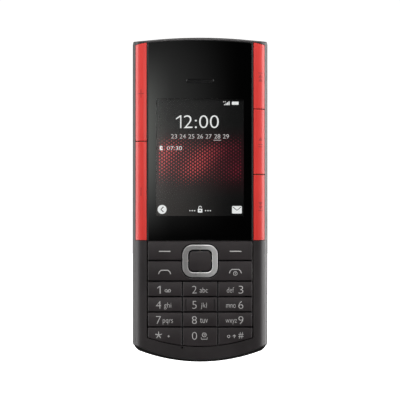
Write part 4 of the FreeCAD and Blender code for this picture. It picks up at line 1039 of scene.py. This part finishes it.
@dataclass
class Screen:
    """What the display shows: plain figures, symbols and a field of dots. Sizes in mm."""

    level: float = -6.61
    height: float = 0.01
    dot_pitch: float = 2.0
    dot_radius: float = 0.5
    smallest: float = 0.045
    clock: Box = (-6.85, 7.85, 30.05, 35.45)
    hour: Box = (-10.1, -7.85, 30.05, 35.45)
    days: tuple[int, ...] = (23, 24, 25, 26, 27, 28, 29)
    days_box: Box = (-12.2, 12.1, 25.7, 27.5)
    days_gap: float = 1.1
    specks: tuple[Point, ...] = ((9.85, 41.1), (10.55, 41.1))
    signal_at: Point = (10.05, 39.7)
    battery: Box = (13.32, 16.13, 39.85, 41.15)
    alarm: Box = (-13.9, -7.6, 20.85, 22.5)
    note: tuple[Point, ...] = (
        (-16.98, 20.8),
        (-15.68, 20.8),
        (-15.68, 22.2),
        (-16.12, 22.64),
        (-16.98, 22.64),
    )
    disc_at: Point = (-15.93, -4.03)
    letter: Box = (13.4, 17.5, -5.75, -2.6)
    lock: Box = (-0.95, 0.95, -5.35, -3.75)
    lock_dots: tuple[float, ...] = (-4.3, -3.3, -2.3, 2.3, 3.3, 4.3)
    white: Material = field(init=False)
    soft: Material = field(init=False)

    def relief(self) -> Relief:
        """An empty relief on the display."""
        return Relief(self.level, self.height)

    def draw_dots(self) -> None:
        """A field of small lozenges whose size follows circles round a far corner."""
        sizes = {
            "Pitch": self.dot_pitch * MM,
            "Dot radius": self.dot_radius * MM,
            "Width": 36.0 * MM,
            "Bottom": 3.0 * MM,
            "Height": 27.0 * MM,
            "Level": (self.level - 0.02) * MM,
            "Centre x": 26.0 * MM,
            "Centre z": -6.0 * MM,
            "Ring step": 15.0 * MM,
            "Columns": 20,
            "Rows": 39,
        }
        tree = Growth("dot_field", sizes)
        pitch, width, columns, rows = (tree[name] for name in ("Pitch", "Width", "Columns", "Rows"))
        counts = {"Size X": 1.0, "Size Y": 1.0, "Vertices X": columns, "Vertices Y": rows}
        grid = tree.node("GeometryNodeMeshGrid", counts)
        index = tree.node("GeometryNodeInputIndex")
        column = tree.math("FLOOR", index / rows)
        row = index - column * rows
        x = (column + tree.math("MODULO", row, 2.0) * 0.5 - columns * 0.5) * pitch
        spot = tree.join(x, tree["Level"], tree["Bottom"] + row * pitch * 0.36)
        placed = tree.node("GeometryNodeSetPosition", {"Geometry": grid, "Position": spot})
        px, py, pz = tree.split(tree.node("GeometryNodeInputPosition"))
        reach = (px - tree["Centre x"]).reach(pz - tree["Centre z"])
        wave = (reach * math.tau / tree["Ring step"]).sine() * 0.22 + 0.78
        rise = (pz - tree["Bottom"]) / tree["Height"]
        fade = rise.step(0.0, 0.42) * rise.step(1.0, 0.60)
        rim = (abs(px) / (width * 0.5)).step(1.0, 0.90) * 0.5 + 0.5
        radius = wave * fade * rim * tree["Dot radius"]
        tint = (px / width + 0.5).step(0.35, 0.85)
        named = tree.node(
            "GeometryNodeStoreNamedAttribute",
            {"Geometry": placed, "Name": "tint", "Value": tint},
            {"data_type": "FLOAT", "domain": "POINT"},
        )
        seen = tree.math("GREATER_THAN", radius, self.smallest * MM)
        inside = tree.math("LESS_THAN", abs(px), width * 0.5)
        size = tree.join(radius * 0.8, radius * 1.15, 0.01 * MM)
        dot = tree.node("GeometryNodeMeshCylinder", {"Vertices": 4, "Radius": 1.0, "Depth": 1.0})
        many = tree.scatter(named, dot, Selection=seen * inside, Scale=size)
        glow = DotGlow("dot_glow", (0.60, 0.065, 0.07), (0.02, 0.01, 0.01), (0.16, 0.006, 0.02))
        mount(tree.grow("screen_dots", many, glow.build()), "phone")

    def draw_figures(self) -> None:
        """The clock, a row of plain day numbers with one underlined, and two specks."""
        clock = self.relief().word("2:00", self.clock, -0.012)
        clock.plate(figure_one(self.hour, 0.52))
        mount(clock.build("screen_clock", self.white), "phone")
        left, right, bottom, top = self.days_box
        step = (right - left + self.days_gap) / len(self.days)
        days = self.relief()
        for k, day in enumerate(self.days):
            start = left + k * step
            days.word(str(day), (start, start + step - self.days_gap, bottom, top), -0.004)
        under = bottom - 0.7
        days.line([(left + 5 * step - 0.2, under), (left + 6 * step - 0.9, under)], 0.22)
        for speck in self.specks:
            days.plate(round_loop(speck, 0.25, 8))
        mount(days.build("screen_days", self.soft), "phone")

    def draw_symbols(self) -> None:
        """Signal, battery and alarm symbols, and one symbol for each of the keys below."""
        marks = self.relief()
        start, foot = self.signal_at
        for k in range(4):
            left = start + k * 0.62
            bar = (left, left + 0.46, foot, foot + 0.35 + k * 0.4)
            marks.plate(rounded_box(bar, 0.05, 1))
        marks.plate(rounded_box(self.battery, 0.15))
        marks.plate(self.note).word("07:30", self.alarm, -0.006)
        marks.plate(round_loop(self.disc_at, 1.89, 32))
        marks.plate(rounded_box(self.letter, 0.35))
        marks.plate(rounded_box(self.lock, 0.2))
        shackle = bow((0.0, -3.3), 0.6, 180, 20)
        marks.line([(-0.6, -3.8), (-0.6, -3.3), *shackle, (0.56, -3.2)], 0.26)
        for x in self.lock_dots:
            marks.plate(round_loop((x, -4.55), 0.26, 10))
        mount(marks.build("screen_symbols", self.white), "phone")
        cuts = Relief(self.level - 0.008, 0.008)
        cuts.line([(-15.5, -3.1), (-16.4, -4.03), (-15.5, -4.96)], 0.42)
        cuts.line([(13.85, -3.1), (15.45, -4.4), (17.05, -3.1)], 0.3)
        cuts.hoop((0.0, -4.5), 0.16, 0.3, 10)
        dark = Glow("screen_dark", (0.012, 0.010, 0.010)).build()
        mount(cuts.build("screen_cuts", dark), "phone")

    def build(self) -> None:
        """Draws everything that the screen shows."""
        self.white = Glow("screen_white", grey(0.88)).build()
        self.soft = Glow("screen_soft_white", (0.60, 0.57, 0.57)).build()
        self.draw_dots()
        self.draw_figures()
        self.draw_symbols()


# ---------------------------------------------------------------- keys


@dataclass(frozen=True)
class Label:
    """A number key's figure, left to right, and its letters with their box over the baseline."""

    digit: str
    left: float
    right: float
    letters: str = ""
    box: Box = (0.0, 0.0, 0.0, 0.0)


@dataclass
class Keypad:
    """Number keys, function keys and the navigation ring, with their printed marks. Sizes in mm."""

    face: float = -7.3
    digit_tall: float = 3.2
    stroke: float = 0.34
    fine: float = 0.23
    thin: float = 0.2
    bases: tuple[float, ...] = (-39.2, -45.55, -51.9, -58.5)
    rows: tuple[tuple[str, ...], ...] = (
        ("soft_key_left", "soft_key_right"),
        ("call_key", "end_key"),
        ("centre_key",),
        ("key_1", "key_2", "key_3"),
        ("key_4", "key_5", "key_6"),
        ("key_7", "key_8", "key_9"),
        ("key_0", "key_star", "key_hash"),
    )
    labels: tuple[Label, ...] = (
        Label("1", -17.95, -16.55),
        Label("2", -3.36, -1.42, "abc", (-0.15, 3.2, 0.0, 2.1)),
        Label("3", 16.1, 18.06, "def", (11.2, 14.2, 0.0, 2.2)),
        Label("4", -18.48, -16.31, "ghi", (-15.1, -12.1, -0.65, 2.15)),
        Label("5", -3.3, -1.46, "jkl", (0.4, 2.75, -0.65, 2.15)),
        Label("6", 16.05, 18.06, "mno", (10.9, 14.9, 0.0, 1.5)),
        Label("7", -18.44, -16.35, "pqrs", (-15.6, -11.35, -0.65, 1.5)),
        Label("8", -3.38, -1.38, "tuv", (0.0, 3.2, 0.0, 1.95)),
        Label("9", 16.05, 18.06, "wxyz", (10.7, 15.4, -0.65, 1.5)),
        Label("0", -3.39, -1.3),
    )
    ink: Material = field(init=False)

    def relief(self) -> Relief:
        """An empty relief on the keys' faces."""
        return Relief(self.face, 0.012)

    def put(self, marks: Relief, node: str) -> None:
        """Prints marks on a key that has a body of its own."""
        mount(marks.build(node + "_marks", self.ink, on=node), node + "_body")

    def print_numbers(self) -> None:
        """Figures and letters on the number keys."""
        for label in self.labels:
            base = self.bases[(int(label.digit) - 1) // 3]
            box = (label.left, label.right, base, base + self.digit_tall)
            marks = self.relief()
            if label.digit == "1":
                marks.plate(figure_one(box, self.stroke))
                for x in (-14.2, -12.85):
                    marks.hoop((x, base + 1.15), 0.5, self.fine, 16)
                marks.line([(-14.2, base + 0.65), (-12.85, base + 0.65)], self.fine)
            else:
                marks.word(label.digit, box, -0.019)
            if label.letters:
                left, right, below, above = label.box
                lift = base + 0.4
                marks.word(label.letters, (left, right, lift + below, lift + above), -0.012)
            if label.digit == "0":
                middle = (1.75, base + 2.0)
                marks.hoop(middle, 0.85, self.fine, 18)
                marks.line(bow(middle, 0.35, -60, 150), self.fine)
                high, low = base + 0.85, base + 0.2
                marks.line([(0.5, high), (0.5, low), (3.0, low), (3.0, high)], self.fine)
            self.put(marks, "key_" + label.digit)

    def print_star(self) -> None:
        """Five arms and a small plus."""
        base = self.bases[3]
        centre = (-17.35, base + 1.9)
        marks = self.relief()
        for tip in bow(centre, 1.35, 90, 378, 4):
            marks.line([centre, tip], 0.3)
        marks.line([(-13.55, base + 1.45), (-12.75, base + 1.45)], self.fine)
        marks.line([(-13.15, base + 1.05), (-13.15, base + 1.85)], self.fine)
        self.put(marks, "key_star")

    def print_hash(self) -> None:
        """A small ring, an arrow and the hash."""
        base = self.bases[3]
        marks = self.relief().hoop((11.95, base + 1.35), 0.52, self.fine, 16)
        marks.line([(13.75, base + 1.5), (14.3, base + 2.05), (14.85, base + 1.5)], self.fine)
        marks.line([(14.3, base + 0.8), (14.3, base + 1.9)], self.fine)
        for shift in (-0.46, 0.46):
            middle, level = 17.1 + shift, base + 1.8 + shift
            marks.line([(middle - 0.2, base + 0.55), (middle + 0.2, base + 3.1)], self.thin)
            marks.line([(16.1, level), (18.1, level)], self.thin)
        self.put(marks, "key_hash")

    def print_functions(self) -> None:
        """Dashes on the soft keys, the two handsets on the call keys."""
        for node, start, end in (("soft_key_left", -17.1, -12.55), ("soft_key_right", 12.55, 17.1)):
            self.put(self.relief().line([(start, -21.55), (end, -21.55)], 0.4), node)
        for node, middle, foot in (("call_key", -14.85, -30.95), ("end_key", 14.75, -30.6)):
            half, top = 2.5, foot + 1.5
            path = [(middle - half, foot), (middle - half + 0.35, foot + 0.9)]
            path += bow((middle - half + 1.3, top - 0.75), 0.75, 160, 90, 5)
            path += bow((middle + half - 1.3, top - 0.75), 0.75, 90, 20, 5)
            path += [(middle + half - 0.35, foot + 0.9), (middle + half, foot)]
            marks = self.relief().line(path, 0.32)
            if node == "end_key":
                marks.hoop((middle, -30.8), 0.8, self.thin, 20)
                marks.line([(middle, -30.45), (middle, -31.1)], self.thin)
            self.put(marks, node)

    def raise_guides(self) -> None:
        """The two raised strokes that let a finger find the middle key, in near-black: a painted
        shade for the shadow along them.
        """
        guides = Relief(self.face, 0.09)
        for side, start in ((-1, 171.5), (1, -8.5)):
            guides.line(bow((side * -7.95, -43.8), 14.0, start, start + 17, 8), 0.55)
        # painted shade: the guides are near-black to stand for the shadow along the ridges
        finish = Moulded("guide_painted_shade", (0.008, 0.0065, 0.007), 0.65, specular=0.3).build()
        mount(guides.build("key_5_guides", finish, on="key_5"), "key_5_body")

    def build(self) -> None:
        """Dresses the keys, row by row, and prints their marks."""
        self.ink = INK.build()
        for k, row in enumerate(self.rows):
            low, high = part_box(row[0])
            between = (low[2] / MM, high[2] / MM)
            dress(KeyCap(f"key_satin_{k}", KEY_TONE, 0.38, between=between), *row)
        dress(RING_METAL, "navigation_ring")
        self.print_numbers()
        self.print_star()
        self.print_hash()
        self.print_functions()
        self.raise_guides()


@dataclass
class SideKeys:
    """The red keys along both edges, with marks in a deeper red. Sizes in mm."""

    face: float = -7.3
    left: float = -24.75
    right: float = 25.3
    stroke: float = 0.36
    keys: tuple[str, ...] = (
        "volume_up_key",
        "volume_down_key",
        "next_key",
        "play_key",
        "previous_key",
    )

    def arrow(self, marks: Relief, z: float, way: int) -> None:
        """Adds a small triangle that points up or down."""
        x, foot = self.right, z - way * 0.75
        marks.plate([(x - 0.85, foot), (x + 0.85, foot), (x, z + way * 0.75)][::way])

    def bar(self, marks: Relief, z: float) -> None:
        """Adds a short bar across."""
        marks.line([(self.right - 0.8, z), (self.right + 0.8, z)], self.stroke)

    def build(self) -> None:
        """Dresses the keys and adds their marks."""
        dress(RED, *self.keys)
        deep = Ink("key_red_deep", (0.33, 0.016, 0.015), 0.45).build()
        reliefs = [Relief(self.face) for _ in self.keys]
        plus, minus, onward, play, back = reliefs
        plus.line([(self.left, 42.9), (self.left, 46.1)], self.stroke)
        plus.line([(self.left - 1.1, 44.5), (self.left + 1.1, 44.5)], self.stroke)
        minus.line([(self.left, 1.8), (self.left, 5.0)], self.stroke)
        for k in (0, 1):
            self.arrow(onward, 50.3 + 1.6 * k, 1)
            self.arrow(back, -1.7 - 1.6 * k, -1)
        self.arrow(play, 25.5, 1)
        for marks, z in ((onward, 53.1), (play, 22.2), (play, 23.2), (back, -4.5)):
            self.bar(marks, z)
        for marks, node in zip(reliefs, self.keys):
            marks.refine(0.35)
            mount(marks.build(node + "_mark", deep, on=node), node + "_body")


# ---------------------------------------------------------------- the back and the inside


@dataclass
class Back:
    """Camera, lamp, rails and screws. Sizes in mm."""

    camera: Point = (-4.2, 59.0)
    lamp: Point = (4.8, 59.0)
    face: float = 7.3
    screws: tuple[Triple, ...] = (
        (-19.2, 5.85, 58.5),
        (19.2, 5.85, 58.5),
        (-14.0, 5.85, -63.4),
        (14.0, 5.85, -63.4),
    )

    def trim_camera(self, steel: Material) -> None:
        """A turned ring round the camera's glass.

        Args:
            steel: its material.
        """
        rise = ((3.45, 0.0), (3.45, 0.08), (3.38, 0.13), (3.05, 0.13), (2.75, 0.03), (2.75, 0.0))
        profile = [(radius, self.face + y) for radius, y in rise]
        ring = Relief(self.face, side=Side.BACK).turn(profile, self.camera)
        trim = ring.build("camera_trim", steel)
        smooth(trim.data)
        mount(trim, "phone")

    def ridge_lamp(self) -> None:
        """Fine ridges on the lamp's lens, one circle inside another."""
        x, z = (v * MM for v in self.lamp)
        sizes = {"Step": 0.3 * MM, "First": 0.35 * MM, "Wire": 0.05 * MM, "Level": self.face * MM}
        tree = Growth("lamp_ridges", {"Count": 5, **sizes, "X": x, "Z": z})
        middle = tree.join(tree["X"], tree["Level"], tree["Z"])
        sockets = {"Count": tree["Count"], "Start Location": middle, "Offset": grey(0.0)}
        line = tree.node("GeometryNodeMeshLine", sockets)
        size = tree["First"] + tree.node("GeometryNodeInputIndex") * tree["Step"]
        circle, wire = (
            tree.node("GeometryNodeCurvePrimitiveCircle", {"Resolution": count, "Radius": radius})
            for count, radius in ((28, 1.0), (6, tree["Wire"]))
        )
        many = tree.scatter(line, circle, Scale=tree.join(size, size, size))
        loops = tree.node("GeometryNodeRealizeInstances", {0: many})
        ridges = tree.node("GeometryNodeCurveToMesh", {"Curve": loops, "Profile Curve": wire})
        clear = Moulded("lamp_clear", (0.75, 0.74, 0.62), 0.2, mottle=0.05, coat=0.6)
        mount(tree.grow("lamp_ridges", ridges, dress(clear, "flash_lamp")), "phone")

    def socket_screws(self) -> None:
        """Six-sided sockets in the screw heads."""
        tree = Growth("screw_sockets", {"Across": 0.62 * MM, "Deep": 0.03 * MM})
        sockets = {"Vertices": 6, "Radius": tree["Across"], "Depth": tree["Deep"]}
        many = tree.scatter(tree["Geometry"], tree.node("GeometryNodeMeshCylinder", sockets))
        seeds = [tuple(v * MM for v in place) for place in self.screws]
        finish = Moulded("socket_shadow", grey(0.006), 0.6).build()
        mount(tree.grow("screw_sockets", many, finish, seeds), "phone")

    def build(self) -> None:
        """Dresses and completes the back."""
        steel = dress(STEEL, "slider_plate", "slide_rails", "detent_springs", "housing_screws")
        dress(BLACK, "slide_runners")
        dress(Lens("camera_glass", self.camera, (0.012, 0.010, 0.03)), "camera_window")
        self.trim_camera(steel)
        self.ridge_lamp()
        self.socket_screws()


@dataclass
class Earbuds:
    """The two wireless earbuds in their tray. Sizes in mm."""

    lamp_z: float = 28.2
    level: float = 5.6
    places: tuple[tuple[str, float], ...] = (("earbud_left", 14.6), ("earbud_right", -14.6))

    def add_lamps(self) -> None:
        """A small lamp near the foot of each stem, and for the microphone a near-black stroke that
        paints the shade of a slit.
        """
        lit = Moulded("bud_lamp", (0.75, 0.74, 0.70), 0.3, mottle=0.03).build()
        dark = Moulded("bud_slit", grey(0.004), 0.7).build()
        for node, x in self.places:
            lamp, slit = (Relief(self.level, 0.01, Side.BACK) for _ in range(2))
            lamp.plate(round_loop((x, self.lamp_z), 0.4, 14))
            mount(lamp.build(node + "_lamp", lit, on=node), "phone")
            # painted shade: the slit is a near-black stroke standing proud, for the shade inside
            # the opening
            slit.line([(x - 0.7, self.lamp_z - 1.6), (x + 0.7, self.lamp_z - 1.6)], 0.3)
            mount(slit.refine(0.4).build(node + "_slit", dark, on=node), "phone")

    def build(self) -> None:
        """Dresses the earbuds and their tray."""
        shell = Moulded("bud_satin", (0.035, 0.033, 0.034), 0.32, coat=0.2)
        dress(shell, "earbud_left", "earbud_right")
        dress(Moulded("bud_gloss", (0.35, 0.03, 0.028), 0.22, mottle=0.04, coat=0.6), "earbud_caps")
        dress(Moulded("tray_black", (0.018, 0.017, 0.018), 0.55), "earbud_tray")
        self.add_lamps()


@dataclass
class Inside:
    """Everything under the shells. Sizes in mm."""

    tongue: float = -2.2
    port_x: float = -12.2

    def line_contacts(self, plating: Material) -> None:
        """Four contact strips on the tongue of the port.

        Args:
            plating: their material.
        """
        strips = Relief(self.tongue, 0.02)
        for k in range(4):
            x = self.port_x - 1.2 + 0.8 * k
            strips.plate(rounded_box((x - 0.2, x + 0.2, 64.6, 66.4), 0.05, 1))
        mount(strips.build("usb_contacts", plating), "phone")

    def build(self) -> None:
        """Dresses the inner parts."""
        steel = Metal("stamped_steel", (0.55, 0.55, 0.54), 0.36, along=(0.05, 1.0, 1.0))
        dress(steel, "chassis", "shield_cans", "card_holders", "usb_socket", "vibration_motor")
        self.line_contacts(dress(BRASS, "battery_contacts", "charge_pins"))
        dress(Board("circuit_board"), "main_board")
        dress(RUBBER, "keypad_mat", "navigation_pad")
        dress(Moulded("clear_film", (0.62, 0.52, 0.34), 0.3), "dome_sheet", "side_key_flexes")
        black = Moulded("part_black", (0.014, 0.014, 0.015), 0.45)
        dress(black, "earpiece_receiver", "microphone", "camera_module", "headset_socket")
        dress(Woven("speaker_cloth", grey(0.05), 0.45), "loudspeaker")
        dress(Wrap("battery_wrap", (0.60, 0.60, 0.58), (0.05, 0.06, 0.08), (2.0, 9.0)), "battery")


def main() -> None:
    """Builds the studio and every sub-assembly, in order."""
    logging.basicConfig(level=logging.INFO, format="%(name)s: %(message)s")
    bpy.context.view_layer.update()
    for part in (Studio, Shells, Glass, Screen, Keypad, SideKeys, Back, Earbuds, Inside):
        LOG.info("building %s", part.__name__)
        part().build()


if __name__ == "__main__":
    main()
